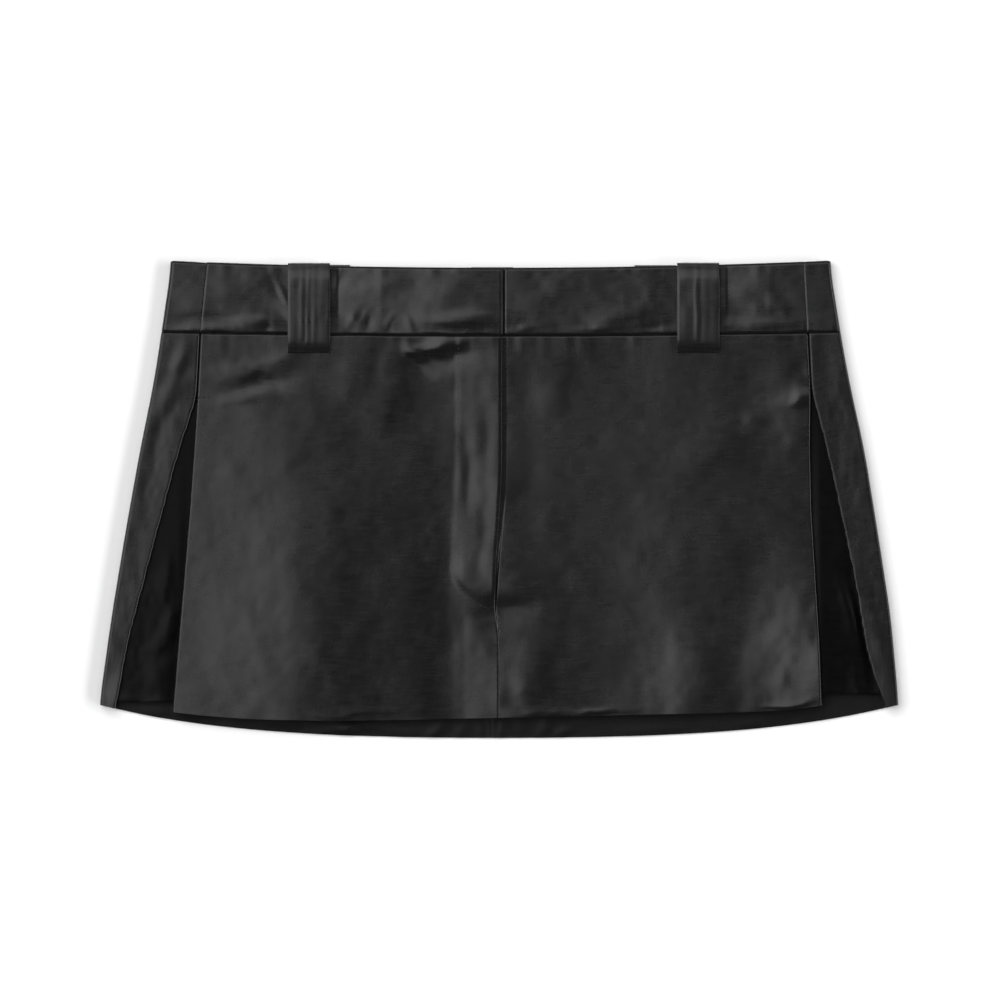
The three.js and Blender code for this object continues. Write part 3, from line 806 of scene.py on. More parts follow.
SIDE_FOLDS = {
    "right": [
        (-192, 82, 12, 4, 70, 0.35),
        (-200, 60, 12, 5, 66, 0.4),
        (-196, 74, 7, 4, 10, -0.25),
        (-206, 30, 30, 5, 78, -0.25),
        (-229, -116, 12, 5, 76, 0.5),
    ],
    "left": [
        (206, 20, 60, 9, 100, -0.15),
        (196, 84, 10, 6, 100, -0.15),
        (230, -92, 30, 6, 104, 0.25),
        (214, -40, 30, 6, 102, 0.15),
    ],
}
BACK_FOLDS = [
    (-22, -138, 5, 2.6, 70, 0.9),
    (-11, -138, 5, 1.8, 96, 0.8),
    (2, -138, 5, 2.2, 84, 0.9),
    (13, -137, 5, 2, 100, 0.9),
    (27, -138, 5, 3, 60, 0.9),
    (39, -139, 6, 2.4, 20, 0.7),
    (-92, -137, 18, 3.4, 4, 0.9),
    (-90, -137, 6, 4, 62, 1.1),
    (-38, -139, 6, 3, 40, 1.0),
    (-60, -139, 12, 3, -6, 0.5),
    (-128, -134, 14, 3, -4, 0.6),
    (-186, -128, 8, 3, -20, 0.8),
    (-206, -127, 7, 3, -10, 0.7),
    (90, -138, 24, 3, 4, 0.4),
    (150, -134, 18, 3, 8, 0.4),
    (-120, -40, 90, 40, 80, 0.3),
    (110, -30, 90, 40, 96, 0.3),
]
BACK_HEM_SWELL = {"rise": 1.2, "up": 24, "half": 12}


def back_skin(x, y):
    """The middle of the back's cloth, which never goes below the surface that it lies on."""
    seam = np.abs(x - CENTRE_BACK_X)
    raised = np.maximum(0, wrinkled(x, y, BACK_FOLDS, seed=21, size=0.16))
    above_hem = (y - back_hem(x) - BACK_HEM_SWELL["up"]) / BACK_HEM_SWELL["half"]
    raised = raised + BACK_HEM_SWELL["rise"] * np.exp(-(above_hem**2))
    ridge = BACK_SEAM["ridge"] * np.exp(-((seam / BACK_SEAM["half"]) ** 2))
    return LAYER["back"] + loop_lift(x, y) + raised + ridge + roll(seam, *BACK_SEAM["roll"])


def side_skin(hand, out, y):
    """The side panel on the front, between its fold and its pleat edge."""
    sign = SIGN[hand]
    fold = half_width(hand, y) - CLOTH / 2
    edge = pleat_edge(hand, "side", y)
    part = np.clip((fold - FOLD_REACH - out) / (fold - FOLD_REACH - edge), 0, 1)
    x = sign * out
    z = lerp(SIDE_FOLD_TOP[hand], LAYER["front"], part)
    z = z + wrinkled(x, y, SIDE_FOLDS[hand], seed=31, size=0.06)
    return z + roll(body_top(x) - y, *TOP_ROLL)


def back_panel(hand, materials):
    """From the centre-back seam round the side fold to the pleat, where its edge turns under."""
    sign = SIGN[hand]
    begin = sign * CENTRE_BACK_X + SEAM_GAP / 2

    def fold(y):
        return half_width(hand, y) - CLOTH / 2

    def turn(y):
        return pleat_edge(hand, "side", y) + SEAM_GAP / 2 + CLOTH / 2 + TURN_RADIUS

    def flat(parts, y):
        x = sign * lerp(begin, fold(y) - FOLD_REACH, parts)
        return x, back_skin(x, y)

    def bend(parts, y):
        edge = fold(y)
        low = back_skin(sign * (edge - FOLD_REACH), y)
        high = side_skin(hand, edge - FOLD_REACH, y)
        angles = np.radians(lerp(-FOLD_ARC, FOLD_ARC, parts))
        out, z = round_the_side(edge, low, high, angles)
        return sign * out, z

    def front(parts, y):
        out = lerp(fold(y) - FOLD_REACH, turn(y), parts)
        return sign * out, side_skin(hand, out, y)

    def hairpin(parts, y):
        angles = np.radians(lerp(*HAIRPIN_ANGLES["side"], parts))
        edge = turn(y)
        return turn_under(edge, side_skin(hand, edge, y), TURN_RADIUS, angles, sign)

    def under(parts, y):
        out = turn(y) + SIDE_TURN * parts
        return sign * out, side_skin(hand, out, y) - 2 * TURN_RADIUS

    sections = [
        (graded(235, fine=0.5, coarse=2.2), flat),
        (np.linspace(0, 1, 13), bend),
        (np.linspace(0, 1, 26), front),
        (np.linspace(0, 1, 11), hairpin),
        (np.linspace(0.3, 1, 3), under),
    ]
    x, y, z = settle(graded(240, fine=0.3, coarse=1.8), sections, body_top, back_hem)
    piece = lay_grid(f"back_{hand}", x, y, z, CLOTH, materials, flip=sign > 0)
    finish_piece(piece, f"back_{hand}")


UNDERLAY_FOLDS = {
    "right": [
        (-199, -6, 16, 2.6, 82, 0.5),
        (-200, -46, 20, 5, 80, 0.7),
        (-195, -72, 8, 5, 64, 1.2),
        (-202, -84, 10, 5, 40, 0.8),
        (-204, -104, 14, 7, 84, 0.9),
        (-206, -122, 9, 3, 10, 0.9),
        (-220, -120, 8, 3, -10, 0.9),
    ],
    "left": [
        (214, -60, 50, 5, 106, -1.0),
        (222, -100, 24, 6, 100, -1.2),
        (210, -66, 30, 3, 108, 0.7),
        (206, -30, 20, 2.6, 104, 0.4),
        (216, -112, 8, 4, 100, 0.5),
    ],
}


def underlay_relief(hand, x, y):
    """Folds of the underlay where the pleat is open, and its swell beside the front's edge."""
    out = np.abs(x)
    opened = smoothstep(out, *UNDERLAY_RELIEF["out"]) * smoothstep(-y, *UNDERLAY_RELIEF["below"])
    folds = wrinkled(x, y, UNDERLAY_FOLDS[hand], seed=41, size=UNDERLAY_RELIEF["uneven"])
    relief = opened * np.clip(folds, UNDERLAY_RELIEF["least"], UNDERLAY_RELIEF["most"])
    hollow = relief * smoothstep(out, *UNDERLAY_RELIEF["hollow_out"])
    beside = np.clip(out - pleat_edge(hand, "front", y), 0, None)
    swell = np.exp(-((beside / UNDERLAY_SWELL["reach"]) ** 2))
    swell = UNDERLAY_SWELL[hand] * pleat_opening(hand, y) * swell
    swell = swell * smoothstep(out, *UNDERLAY_RELIEF["swell_out"])
    return np.where(relief < 0, hollow, relief) + swell


def pleat_underlay(hand, materials):
    """The cloth behind the open pleat."""
    sign = SIGN[hand]

    def across(parts, y):
        reach = lerp(UNDERLAY_REACH["head"], UNDERLAY_REACH["hem"], pleat_opening(hand, y))
        inner = pleat_edge(hand, "front", y) - reach
        outer = np.minimum(
            pleat_edge(hand, "side", y) + UNDERLAY_REACH["side"],
            half_width(hand, y) - UNDERLAY_REACH["fold"],
        )
        x = sign * lerp(inner, outer, parts)
        return x, LAYER["underlay"] + underlay_relief(hand, x, y)

    def top(x):
        return PLEAT_HEAD[hand] - UNDERLAY_REACH["below"] + 0 * x

    node = f"pleat_underlay_{hand}"
    sections = [(graded(60, fine=0.5, coarse=1.5), across)]
    x, y, z = settle(graded(186, fine=0.5, coarse=1.5), sections, top, underlay_hem)
    piece = lay_grid(node, x, y, z, THIN_CLOTH, materials, flip=sign < 0)
    finish_piece(piece, node, UNDERLAY_AREA)


def fly_shield(materials):
    """The strip of cloth behind the closed fly."""

    def across(parts, y):
        x = fly_line(y) + lerp(SHIELD["inner"], SHIELD["outer"], parts)
        return x, LAYER["shield"] + fly_crowd(x, y) - foot_dent(x, y)

    def foot(x):
        return SHIELD["foot_y"] + SHIELD["foot_slope"] * np.abs(x)

    sections = [(np.linspace(0, 1, 20), across)]
    x, y, z = settle(np.linspace(0, 1, 60), sections, body_top, foot)
    piece = lay_grid("fly_shield", x, y, z, THIN_CLOTH, materials)
    finish_piece(piece, "fly_shield")


def shorts_half(face, hand, materials):
    """One half of a leg of the built-in shorts."""
    sign = SIGN[hand]

    def across(parts, y):
        parted = smoothstep(-y, -CROTCH["y"], -CROTCH["foot_y"])
        inner = SEAM_GAP / 2 + CROTCH["parting"] * parted
        down = (BAND_SEAM_Y - y) / (BAND_SEAM_Y - SHORTS_HEM_Y)
        outer = lerp(SHORTS_SIDE["waist"], SHORTS_SIDE["hem"], down)
        x = sign * lerp(inner, outer, parts)
        return x, LAYER["shorts_" + face] + loop_lift(x, y) + uneven("shorts", x, y)

    def hem(x):
        return SHORTS_HEM_Y + 0 * x

    node = f"shorts_{face}_{hand}"
    sections = [(graded(200, fine=0.8, coarse=3.2), across)]
    x, y, z = settle(graded(190, fine=0.8, coarse=3.2), sections, body_top, hem)
    piece = lay_grid(node, x, y, z, THIN_CLOTH, materials, flip=sign < 0)
    finish_piece(piece, node)


# ---- Waistband ----------------------------------------------------------------------------

BAND_FOLDS = [
    (-174, 102.5, 24, 2.4, 2, 0.55),
    (-176, 109, 24, 3, 2, -0.4),
    (-146, 107.6, 12, 3.4, -4, 0.85),
    (-129, 122, 11, 2, -62, 0.5),
    (-133, 128, 10, 3, -60, -0.3),
    (-125, 110, 8, 2, -52, 0.4),
    (-139, 104, 4, 3, 80, -0.4),
    (-88, 109, 6, 2.4, 60, 0.28),
    (-78, 106, 5, 2.4, 74, -0.25),
    (-66, 107, 6, 2.4, 62, 0.24),
    (-54, 106, 5, 2.4, 112, 0.24),
    (-46, 113, 10, 5, 74, 0.2),
    (-22, 108.6, 20, 4.6, 2, 1.25),
    (-30, 124, 12, 7, 40, 0.4),
    (-96, 130, 8, 4, 60, -0.4),
    (-160, 126, 18, 8, 20, 0.35),
    (-72, 128, 14, 6, 20, 0.35),
    (30, 124, 16, 7, 30, 0.35),
    (16, 103, 8, 2.4, 10, 0.4),
    (72, 110, 20, 5, 16, 0.5),
    (60, 103, 14, 2, 4, 0.35),
    (94, 104, 10, 2.4, 4, -0.4),
    (160, 105, 22, 2.6, 2, 0.4),
    (160, 112, 22, 3, 2, -0.3),
    (146, 124, 14, 6, 24, 0.3),
]


def pinched(x, y, size_x, size_y, seed):
    """Crumples with narrow crests between soft hollows, from 0 to 1."""
    return (1 - np.abs(rumple(x, y, size_x, size_y, seed))) ** 2


def band_relief(x, y):
    """Unevenness of the interfaced waistband, crumpled most beside its seams."""
    near_seam = np.exp(-np.clip(y - band_seam(x), 0, None) / BAND_CRUMPLE["seam_reach"])
    near_top = np.exp(-np.clip(top_edge(x) - y, 0, None) / BAND_CRUMPLE["top_reach"])
    beside = (x - BAND_CRUMPLE["crowded_x"]) / BAND_CRUMPLE["crowded_half"]
    crowded = BAND_CRUMPLE["rise"] + BAND_CRUMPLE["crowded_rise"] * np.exp(-(beside**2))
    crumple = crowded * near_seam * (pinched(x, y, *BAND_PINCH) - 0.5)
    crumple = crumple + near_top * uneven("band_top", x, y)
    body = uneven("band", x, y + BAND_CRUMPLE["slant"] * x) + uneven("band_fine", x, y)
    up = smoothstep(y, BAND_PRESS["from_y"], BAND_PRESS["full_y"])
    for middle in FRONT_LOOPS.values():
        beside = x - middle - LOOP["width"] / 2
        edge = np.clip(beside / BAND_PRESS["edge"], 0, 1)
        fade = np.clip(1 - (beside - BAND_PRESS["edge"]) / BAND_PRESS["fade"], 0, 1)
        body = body - BAND_PRESS["depth"] * edge * fade * up
    return swells(x, y, BAND_FOLDS) + crumple + body


def band_side_seam(hand, y):
    """How far out the band's side seam is at a height."""
    top, seam = BAND_SIDE_SEAM[hand]
    return lerp(top, seam, (TOP_Y - y) / (TOP_Y - BAND_SEAM_Y))


def band_face(x, y):
    """The band's relief, rolled down to its folded top edge and to its seam."""
    depth, reach = BAND_ROLL["seam"]
    reach = reach + uneven("band_seam_roll", x, y)
    rim = roll(top_edge(x) - y, *BAND_ROLL["top"]) + roll(y - band_bottom(x), depth, reach)
    return band_relief(x, y) + rim


def front_band(hand, materials):
    """The right end laps over a tongue of the left one."""
    sign = SIGN[hand]
    side_z = LAYER["band_front"]

    def middle(x):
        if hand == "right":
            lapped = 1 - smoothstep(FLY["top_x"] - x, BAND_LAP["ramp_from"], BAND_LAP["ramp_to"])
            return lerp(side_z, BAND_LAP["lapped_z"], lapped)
        past = x - FLY["top_x"]
        beyond = smoothstep(past, BAND_LAP["step_from"], BAND_LAP["step_to"])
        lean = BAND_LAP["tongue_lean"] * np.clip(past / BAND_LAP["step_from"], 0, 1)
        return lerp(BAND_LAP["tongue_z"] - lean, side_z, beyond)

    begin = sign * FLY["top_x"] - (BAND_LAP["tongue"] if hand == "left" else 0)
    step = FLY["top_x"] + BAND_LAP["step_to"] if hand == "left" else begin

    def across(parts, y):
        edge = band_side_seam(hand, y) - SEAM_GAP / 2
        out = np.where(parts < 0, lerp(step, begin, -parts), lerp(step, edge, parts))
        x = sign * out
        z = middle(x) + band_face(x, y) + roll(edge - out, *BAND_ROLL["side"])
        if hand == "right":
            z = z + roll(out - begin, *BAND_ROLL["fly"])
        return x, z

    node = f"waistband_front_{hand}"
    sections = [(graded(182, fine=0.25, coarse=1.1, edge=7), across)]
    if hand == "left":
        tongue = np.concatenate([np.linspace(-1, -0.12, 18), np.linspace(-0.1, -0.005, 14)])
        sections.insert(0, (tongue, across))
    x, y, z = settle(graded(42, fine=0.25, coarse=1.2), sections, top_edge, band_bottom)
    piece = lay_grid(node, x, y, z, BAND_CLOTH, materials, rim=RIM["band"], flip=sign < 0)
    finish_piece(piece, node)


def back_band(materials):
    """From one front side seam round the back to the other."""

    def front_z(x, y):
        return LAYER["band_front"] + band_face(x, y)

    def back_z(x, y):
        relief = np.maximum(0, BACK_BAND["relief"] * band_relief(x, y))
        return LAYER["band_back"] + loop_lift(x, y) + relief

    def fold(hand, y):
        return half_width(hand, y) - BAND_CLOTH / 2

    def back_edge(x):
        beside = smoothstep(np.abs(x), *BACK_BAND["lower_to"])
        return top_edge(x) - BACK_BAND["lower"] * (1 - beside)

    def run(hand):
        sign = SIGN[hand]

        def place(parts, y):
            edge = band_side_seam(hand, y) + SEAM_GAP / 2
            out = lerp(edge, fold(hand, y) - FOLD_REACH, parts)
            x = sign * out
            return x, front_z(x, y) + roll(out - edge, *BAND_ROLL["side"])

        return place

    def bend(hand):
        sign = SIGN[hand]

        def place(parts, y):
            x = sign * (fold(hand, y) - FOLD_REACH)
            angles = np.radians(lerp(FOLD_ARC, -FOLD_ARC, parts))
            out, z = round_the_side(fold(hand, y), back_z(x, y), front_z(x, y), angles)
            return sign * out, z

        return place

    def across(parts, y):
        x = lerp(FOLD_REACH - fold("right", y), fold("left", y) - FOLD_REACH, parts)
        return x, back_z(x, y)

    sections = [
        (graded(18, fine=0.25, coarse=1.4), run("right")),
        (np.linspace(0, 1, 11), bend("right")),
        (np.linspace(0, 1, 220), across),
        (np.linspace(1, 0, 11), bend("left")),
        (1 - graded(18, fine=0.25, coarse=1.4), run("left")),
    ]
    x, y, z = settle(graded(42, fine=0.25, coarse=1.4), sections, back_edge, band_bottom)
    piece = lay_grid("waistband_back", x, y, z, BAND_CLOTH, materials, rim=RIM["band"], flip=True)
    finish_piece(piece, "waistband_back")


# ---- Belt loops ---------------------------------------------------------------------------


def smooth_line(points, steps=7):
    """A smooth line through points (Catmull-Rom), with steps between each pair."""
    points = np.array(points, float)
    ends = np.concatenate([[2 * points[0] - points[1]], points, [2 * points[-1] - points[-2]]])
    line = []
    for a, b, c, d in zip(ends, ends[1:], ends[2:], ends[3:]):
        bend = 2 * a - 5 * b + 4 * c - d
        twist = 3 * b - a - 3 * c + d
        for t in np.linspace(0, 1, steps, endpoint=False):
            line.append(0.5 * (2 * b + (c - a) * t + bend * t**2 + twist * t**3))
    return np.array(line + [points[-1]])


def along_strap(length, table, seed):
    rise, lump, first = table
    return rise * rumple(length, length, lump, lump, first + seed)


def strap_ridges(ridges, aside, length, across, seed):
    """Soft ridges along a strap, which sway and swell along its length."""
    sway = along_strap(length, RIDGE_SWAY, seed) * (1 - across**2)
    total = 0
    for i, (place, width, rise) in enumerate(ridges):
        swell = RIDGE_LEAST + along_strap(length, RIDGE_SWELL, i)
        total = total + rise * swell * np.exp(-(((aside - place + sway) / width) ** 2))
    return total


def strap(name, middle, line, ridges, materials):
    """A strap whose middle follows a line of (y, z) points, with soft ridges along it."""
    line = smooth_line(line)
    ahead = np.gradient(line, axis=0)
    ahead /= np.linalg.norm(ahead, axis=1)[:, None]
    steps = np.linalg.norm(np.diff(line, axis=0), axis=1)
    length = np.concatenate([[0], np.cumsum(steps)])[:, None]
    across = lerp(-1, 1, graded(LOOP["width"], fine=0.22, coarse=0.7))[None, :]
    aside = across * LOOP["width"] / 2
    x = middle + aside + 0 * length
    edge = (1 - np.abs(across)) * LOOP["width"] / 2
    proud = strap_ridges(ridges, aside, length, across, seed=len(name))
    proud = proud + roll(edge, *STRAP_ROLL) + uneven("strap", x, length)
    fade = 0
    if ridges:
        lost = RIDGE_FADE["lost"] * smoothstep(length, *RIDGE_FADE["end"])
        fade = smoothstep(length, *RIDGE_FADE["start"]) * (1 - lost)
    y = line[:, :1] - ahead[:, 1:] * proud * fade
    z = line[:, 1:] + ahead[:, :1] * proud * fade
    piece = lay_grid(name, x, y, z, LOOP["cloth"], materials, rim=RIM["strap"])
    finish_piece(piece, name)


def over_the_edge(top, from_z, to_z):
    """The end of a strap's line, a quarter turn over the band's top edge."""
    turns = np.radians(np.linspace(0, 90, 6))
    return [(top + LOOP["over_top"] * math.sin(t), lerp(to_z, from_z, math.cos(t))) for t in turns]


def strap_sides(middle):
    return np.array([middle - LOOP["width"] / 2, middle + LOOP["width"] / 2])


# Ridges of the front loops: the place across the strap, the half width and the rise.
LOOP_RIDGES = {
    "right": [
        (-9.5, 2.2, 0.08),
        (-4, 1.5, 0.14),
        (-0.4, 1.1, 0.14),
        (3.4, 1.4, 0.12),
        (8.6, 2.6, 0.1),
    ],
    "left": [(-7.6, 3, 0.12), (-0.9, 1.5, 0.26), (4.2, 2.8, 0.16), (9.4, 2, 0.08)],
}


def front_loop(hand, materials):
    """Its foot is turned under on the panel, it stands off the band and folds over its edge."""
    x = FRONT_LOOPS[hand]
    sides = strap_sides(x)
    top = float(top_edge(sides).max())
    half = LOOP["cloth"] / 2
    foot_y = top - LOOP["drop"] + half + LOOP["foot_radius"]
    panel = float(front_skin(hand, sides, foot_y).max())
    foot_z = panel + CLOTH / 2 + LOOP["foot_gap"] + half
    band_top = LAYER["band_front"] + LOOP["band_face"]
    run_z = band_top + LOOP["stand"] + half
    over_z = band_top + SEAM_GAP + half
    radius = LOOP["foot_radius"]
    turns = np.radians(np.linspace(270, 90, 5))
    hairpin = [(foot_y + radius * math.cos(t), foot_z + radius * (1 + math.sin(t))) for t in turns]
    line = [
        (foot_y + LOOP["turn_under"], foot_z),
        *hairpin,
        (foot_y + LOOP["foot_slope"], run_z),
        (lerp(foot_y, top, 0.5), run_z + LOOP["crown"]),
        (top - LOOP["shoulder"], run_z),
        (top - LOOP["neck"], lerp(over_z, run_z, LOOP["neck_part"])),
        *over_the_edge(top, over_z, LAYER["band_front"] - half),
    ]
    strap(f"belt_loop_front_{hand}", x, line, LOOP_RIDGES[hand], materials)


def back_loop(place, materials):
    """It lies on the surface under the back band and folds over the band's top edge."""
    x = BACK_LOOPS[place]
    top = float((top_edge(strap_sides(x)) - BACK_BAND["lower"]).max())
    foot = float(top_edge(x)) - LOOP["drop"]
    lie = LOOP["cloth"] / 2 + LOOP["back_clear"]
    over = over_the_edge(top, lie, LOOP_LIFT["height"] + LOOP["back_over"])
    line = [(foot, lie), (lerp(foot, top, 0.5), lie), *over]
    strap(f"belt_loop_back_{place}", x, line, [], materials)


# ---- Sewing -------------------------------------------------------------------------------

THREAD = 0.45
STITCH = {"length": 2.2, "pitch": 3, "inside": 1.6, "top_y": 94, "sunk": 0.08}
# The right tack crosses the seam, which is at seam_x. The left one runs along the pleat's head.
TACK = {
    "right": {
        "x": (-186.4, -183.4, -179.8, -177.0, -174.2),
        "y": 62.0,
        "seam_x": -181.6,
        "sway": 0.5,
        "lean": 8,
        "length": 2.2,
    },
    "left": {"x": 186.2, "y": (66.2, 68.8, 71.4, 74), "turn": 88, "length": 1.7},
}


def sew(name, stitches, thread, thick=THREAD):
    """Short raised stitches. Each has its place, its turn in degrees and its length."""
    bm = bmesh.new()
    for x, y, z, turn, length in stitches:
        place = Matrix.Translation((x * MM, y * MM, z * MM))
        place = place @ Matrix.Rotation(math.radians(turn), 4, "Z")
        shape = Matrix.Diagonal((length / 2 * MM, thick / 2 * MM, thick / 2 * MM, 1))
        bmesh.ops.create_icosphere(bm, subdivisions=2, radius=1, matrix=place @ shape)
    piece = new_object(name, bm)
    piece.data.materials.append(thread)
    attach(piece, "root")


def on_front(hand, x, y):
    """The height of a front panel's face at a place."""
    return float(front_skin(hand, np.array(x), np.array(y))) + CLOTH / 2


def on_side(hand, x, y):
    """The height of a side panel's face at a place."""
    return float(side_skin(hand, np.array(abs(x)), np.array(y))) + CLOTH / 2


def pleat_tacks(thread):
    """A row of stitches across the right pleat's head, and one along the left pleat's head."""
    row = TACK["right"]
    stitches = []
    for x in row["x"]:
        skin = on_side if x < row["seam_x"] else on_front
        y = row["y"] + row["sway"] * math.sin(2 * x)
        turn = row["lean"] * math.sin(x)
        stitches.append((x, y, skin("right", x, row["y"]), turn, row["length"]))
    sew("pleat_tack_right", stitches, thread, 2 * THREAD)
    row = TACK["left"]
    x = row["x"]
    stitches = [(x, y, on_front("left", x, y), row["turn"], row["length"]) for y in row["y"]]
    sew("pleat_tack_left", stitches, thread, 2 * THREAD)


def fly_stitching(thread):
    """One line of stitches down the strip's inner edge and round its foot to the fly."""
    width = FLY_STRIP["width"] - STITCH["inside"]
    down = np.arange(STITCH["top_y"], FLY_STRIP["foot_centre_y"], -STITCH["pitch"])
    places = [(FLY["top_x"] - width, y) for y in down]
    for beside in np.arange(1, 0.1, -0.075):
        y = strip_foot(beside, width)
        places.append((float(fly_line(y)) - width * beside, y))
    line = np.array(places)
    stitches = []
    for (x, y), (step_x, step_y) in zip(line, np.gradient(line, axis=0)):
        turn = math.degrees(math.atan2(step_y, step_x))
        z = on_front("right", x, y) - STITCH["sunk"]
        stitches.append((x, y, z, turn, STITCH["length"]))
    sew("fly_stitching", stitches, thread)


# ---- Materials ----------------------------------------------------------------------------


def srgb(code):
    """A linear colour from an sRGB hex value."""
    values = [int(code[i : i + 2], 16) / 255 for i in (1, 3, 5)]
    linear = [v / 12.92 if v <= 0.04045 else ((v + 0.055) / 1.055) ** 2.4 for v in values]
    return (*linear, 1)


def add_node(tree, kind, settings=None, **links):
    """A node with its settings, and its inputs set or linked."""
    node = tree.nodes.new(kind)
    for name, value in (settings or {}).items():
        setattr(node, name, value)
    for name, value in links.items():
        key = int(name[1:]) if name[0] == "_" and name[1:].isdigit() else name.replace("_", " ")
        if isinstance(value, bpy.types.NodeSocket):
            tree.links.new(value, node.inputs[key])
        else:
            node.inputs[key].default_value = value
    return node


# Sizes along and across the threads, in millimetres, of a thick thread drawn out, of the
# threads that cross it, and of the cloudy and mottled patches that wear and washing leave.
SLUB = (15, 1.1)
END = (0.9, 16)
CLOUD = (38, 46)
MOTTLE = (9, 6)
# Shares of the patterns in the colour and height, and in the gloss, and the range of each.
SHARE = {"end": 0.45, "slub": 0.35, "mottle": 0.9}
TONE_RANGE = (0.45, 0.95)
WORN_RANGE = (0.87, 1.38)
SHEEN = {"weight": 0.03, "roughness": 0.4}


def cloth_finish(name, dark, light, rough, gloss, slub=SLUB, end=END, depth=0.024, follow="UV"):
    """Woven cloth: uneven threads across and along it, each a colour, a gloss and a height."""
    material = bpy.data.materials.new(name)
    material.use_nodes = True
    tree = material.node_tree
    shader = tree.nodes["Principled BSDF"]
    place = add_node(tree, "ShaderNodeTexCoord").outputs[follow]

    def threads(size, detail):
        spread = (1 / (size[0] * MM), 1 / (size[1] * MM), 1)
        mapped = add_node(tree, "ShaderNodeMapping", Vector=place, Scale=spread).outputs["Vector"]
        settings = {"Scale": 1, "Detail": detail, "Roughness": 0.55}
        return add_node(tree, "ShaderNodeTexNoise", Vector=mapped, **settings).outputs["Fac"]

    weft = threads(slub, 2)
    warp = threads(end, 1)
    both, patches, worn = (
        add_node(tree, "ShaderNodeMath", {"operation": "MULTIPLY_ADD"}) for _ in range(3)
    )
    sums = (
        (both, warp, SHARE["end"], weft),
        (patches, weft, SHARE["slub"], threads(CLOUD, 2)),
        (worn, threads(MOTTLE, 3), SHARE["mottle"], patches.outputs[0]),
    )
    for total, value, share, rest in sums:
        tree.links.new(value, total.inputs[0])
        total.inputs[1].default_value = share
        tree.links.new(rest, total.inputs[2])
    height = both.outputs[0]
    tone, patchy = (
        add_node(
            tree,
            "ShaderNodeMapRange",
            Value=value,
            From_Min=found[0],
            From_Max=found[1],
            To_Min=wanted[0],
            To_Max=wanted[1],
        )
        for value, found, wanted in (
            (height, TONE_RANGE, (0, 1)),
            (worn.outputs[0], WORN_RANGE, rough),
        )
    )
    blend = {"_0": tone.outputs[0], "_6": srgb(dark), "_7": srgb(light)}
    colour = add_node(tree, "ShaderNodeMix", {"data_type": "RGBA"}, **blend)
    bump = add_node(tree, "ShaderNodeBump", Strength=1, Distance=depth * MM, Height=height)
    tree.links.new(colour.outputs[2], shader.inputs["Base Color"])
    tree.links.new(patchy.outputs[0], shader.inputs["Roughness"])
    tree.links.new(bump.outputs["Normal"], shader.inputs["Normal"])
    shader.inputs["Specular IOR Level"].default_value = gloss
    shader.inputs["Sheen Weight"].default_value = SHEEN["weight"]
    shader.inputs["Sheen Roughness"].default_value = SHEEN["roughness"]
    return material


# ---- The garment --------------------------------------------------------------------------

# Polyester satin, woven, piece-dyed black and tumble washed. The long floats give a soft, even
# lustre that slides over the folds, the washing leaves faint cloudy patches of more and less
# gloss, and thicker threads show as short dashes across the cloth. Such a thread is about
# 0.3 mm thick, too fine to show, so it is drawn 1.1 mm wide and 15 mm long.
satin = cloth_finish("washed_black_satin", "#050506", "#141415", rough=(0.23, 0.29), gloss=0.34)
# The wrong side of the same satin, woven of short floats, so it looks dull and flat.
reverse = cloth_finish("satin_matt_reverse", "#060606", "#0f0f0f", rough=(0.42, 0.55), gloss=0.14)
# The same satin behind the open pleat, coloured darker than the panels as painted shade for the
# deep pleat: the deepest black here, with only a trace of shine on its creases.
pleat_shade_satin = cloth_finish("pleat_satin_painted_shade", "#010101", "#050505", rough=(0.3, 0.4), gloss=0.08)
# The satin fused to a firm interlining for the waistband: a little rougher, with its threads
# pressed flatter, so the band looks stiffer than the panels.
band_satin = cloth_finish(
    "interfaced_black_satin", "#060606", "#151516", rough=(0.25, 0.31), gloss=0.36, depth=0.02
)
# The satin folded three times into a strap and pressed: the folded edges rub and turn a shade
# greyer than the panels.
loop_satin = cloth_finish(
    "folded_black_satin", "#070707", "#191919", rough=(0.26, 0.34), gloss=0.36
)
# Spun polyester sewing thread, twisted: a small dull gleam on each stitch, and a colour lighter
# than the cloth's that is painted highlight on the raised stitches. Its twist of about 0.3 mm is
# drawn 0.6 mm wide to show.
thread = cloth_finish(
    "black_thread_painted_highlight",
    "#0c0c0c",
    "#242424",
    rough=(0.34, 0.42),
    gloss=0.4,
    slub=(0.6, 0.6),
    end=(0.5, 0.5),
    follow="Object",
)
# Polyester crepe, woven of hard twisted yarn: a dry, pebbled, matt black without any shine.
# Its grain of about 0.5 mm is drawn 1.2 to 2 mm wide to show.
crepe = cloth_finish(
    "matt_black_crepe",
    "#0b0b0b",
    "#151515",
    rough=(0.7, 0.78),
    gloss=0.2,
    slub=(2, 1.4),
    end=(1.2, 2),
)

for hand in SIGN:
    back_panel(hand, [satin, reverse])
    for face in ("back", "front"):
        shorts_half(face, hand, [crepe])
    pleat_underlay(hand, [pleat_shade_satin])
    front_panel(hand, [satin, reverse])
    front_band(hand, [band_satin])
    front_loop(hand, [loop_satin])
back_band([band_satin])
fly_shield([satin])
for place in BACK_LOOPS:
    back_loop(place, [loop_satin])
pleat_tacks(thread)
fly_stitching(thread)

# ---- Floor, light and camera --------------------------------------------------------------

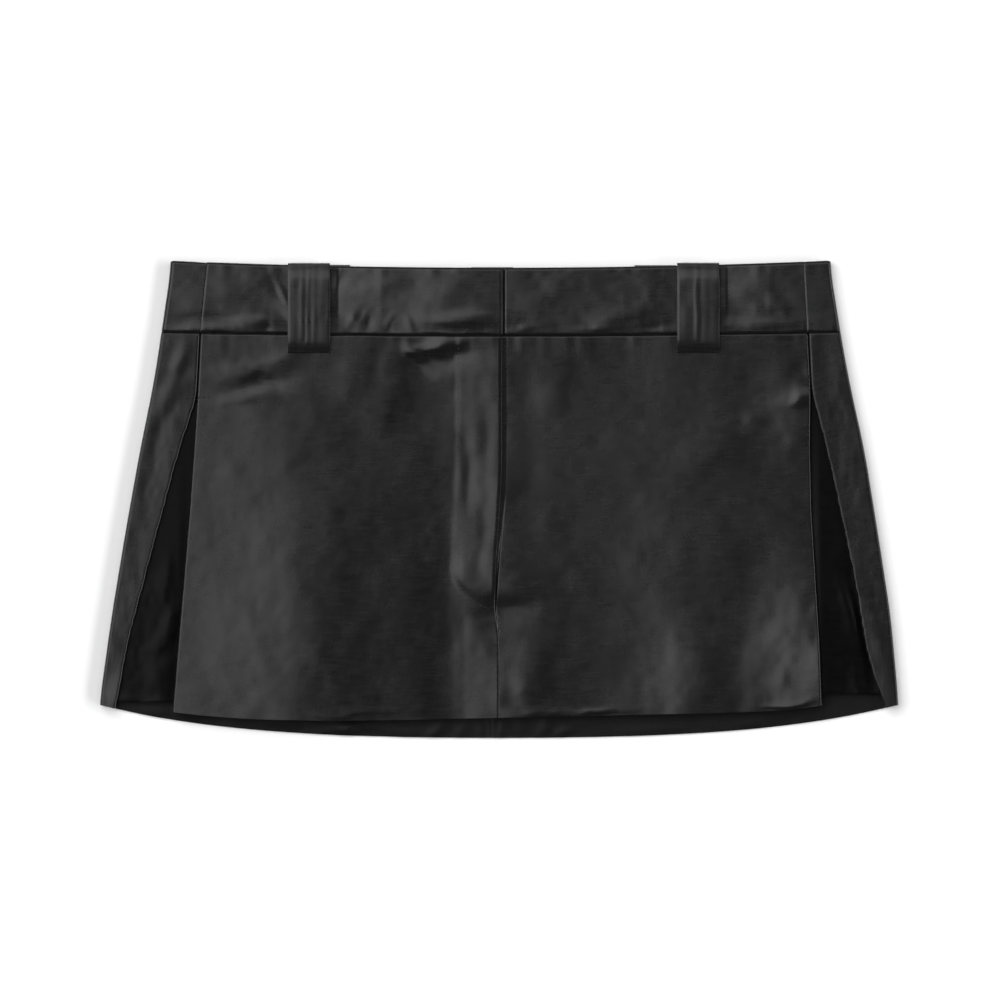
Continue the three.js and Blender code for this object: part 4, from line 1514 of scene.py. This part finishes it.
# These are in metres, but for the camera's sensor. A light's radiance is in units of the
# floor's white. The left one gives the satin its lustre, and the others fill in.
FLOOR_HALF = 6
LIGHT_HEIGHT = 9.2
LIGHTS = {
    "left_softbox": {"x": -7.23, "y": 5.6, "size": (13, 14.4), "radiance": 2.95},
    "top_softbox": {"x": 2.6, "y": 6.4, "size": (6.4, 7.2), "radiance": 1.5},
    "right_softbox": {"x": 14, "y": -2.0, "size": (10, 18), "radiance": 5.4},
}
ROOM_GLOW = 0.08
VIEW = {"width": 600 * MM, "middle_x": 0.6 * MM, "height": 9, "sensor": 36, "far": 50}


def floor():
    """White matt paper under the garment."""
    bm = bmesh.new()
    bmesh.ops.create_grid(bm, x_segments=2, y_segments=2, size=FLOOR_HALF)
    board = new_object("floor", bm)
    matt = bpy.data.materials.new("white_matt_paper")
    matt.use_nodes = True
    shader = matt.node_tree.nodes["Principled BSDF"]
    shader.inputs["Base Color"].default_value = srgb("#fefefe")
    shader.inputs["Roughness"].default_value = 0.9
    shader.inputs["Specular IOR Level"].default_value = 0.1
    board.data.materials.append(matt)


def softbox(name, x, y, size, radiance):
    """A flat light that faces down."""
    lamp = bpy.data.lights.new(name, "AREA")
    lamp.shape = "RECTANGLE"
    lamp.size, lamp.size_y = size
    lamp.energy = radiance * math.pi * size[0] * size[1]
    box = bpy.data.objects.new(name, lamp)
    box.location = (x, y, LIGHT_HEIGHT)
    box.visible_camera = False
    bpy.context.scene.collection.objects.link(box)


def dim_room():
    """A faint even glow from all round."""
    world = bpy.data.worlds.new("dim_room")
    bpy.context.scene.world = world
    world.use_nodes = True
    room = world.node_tree.nodes["Background"]
    room.inputs["Color"].default_value = (1, 1, 1, 1)
    room.inputs["Strength"].default_value = ROOM_GLOW


def camera_above():
    """Looks straight down from so far that the view is nearly parallel."""
    lens = bpy.data.cameras.new("camera")
    lens.sensor_width = VIEW["sensor"]
    lens.lens = VIEW["sensor"] * (VIEW["height"] - LAYER["front"] * MM) / VIEW["width"]
    lens.clip_end = VIEW["far"]
    camera = bpy.data.objects.new("camera", lens)
    camera.location = (VIEW["middle_x"], 0, VIEW["height"])
    bpy.context.scene.collection.objects.link(camera)
    bpy.context.scene.camera = camera
    bpy.context.scene.view_settings.view_transform = "Standard"


floor()
for name, light in LIGHTS.items():
    softbox(name, **light)
dim_room()
camera_above()
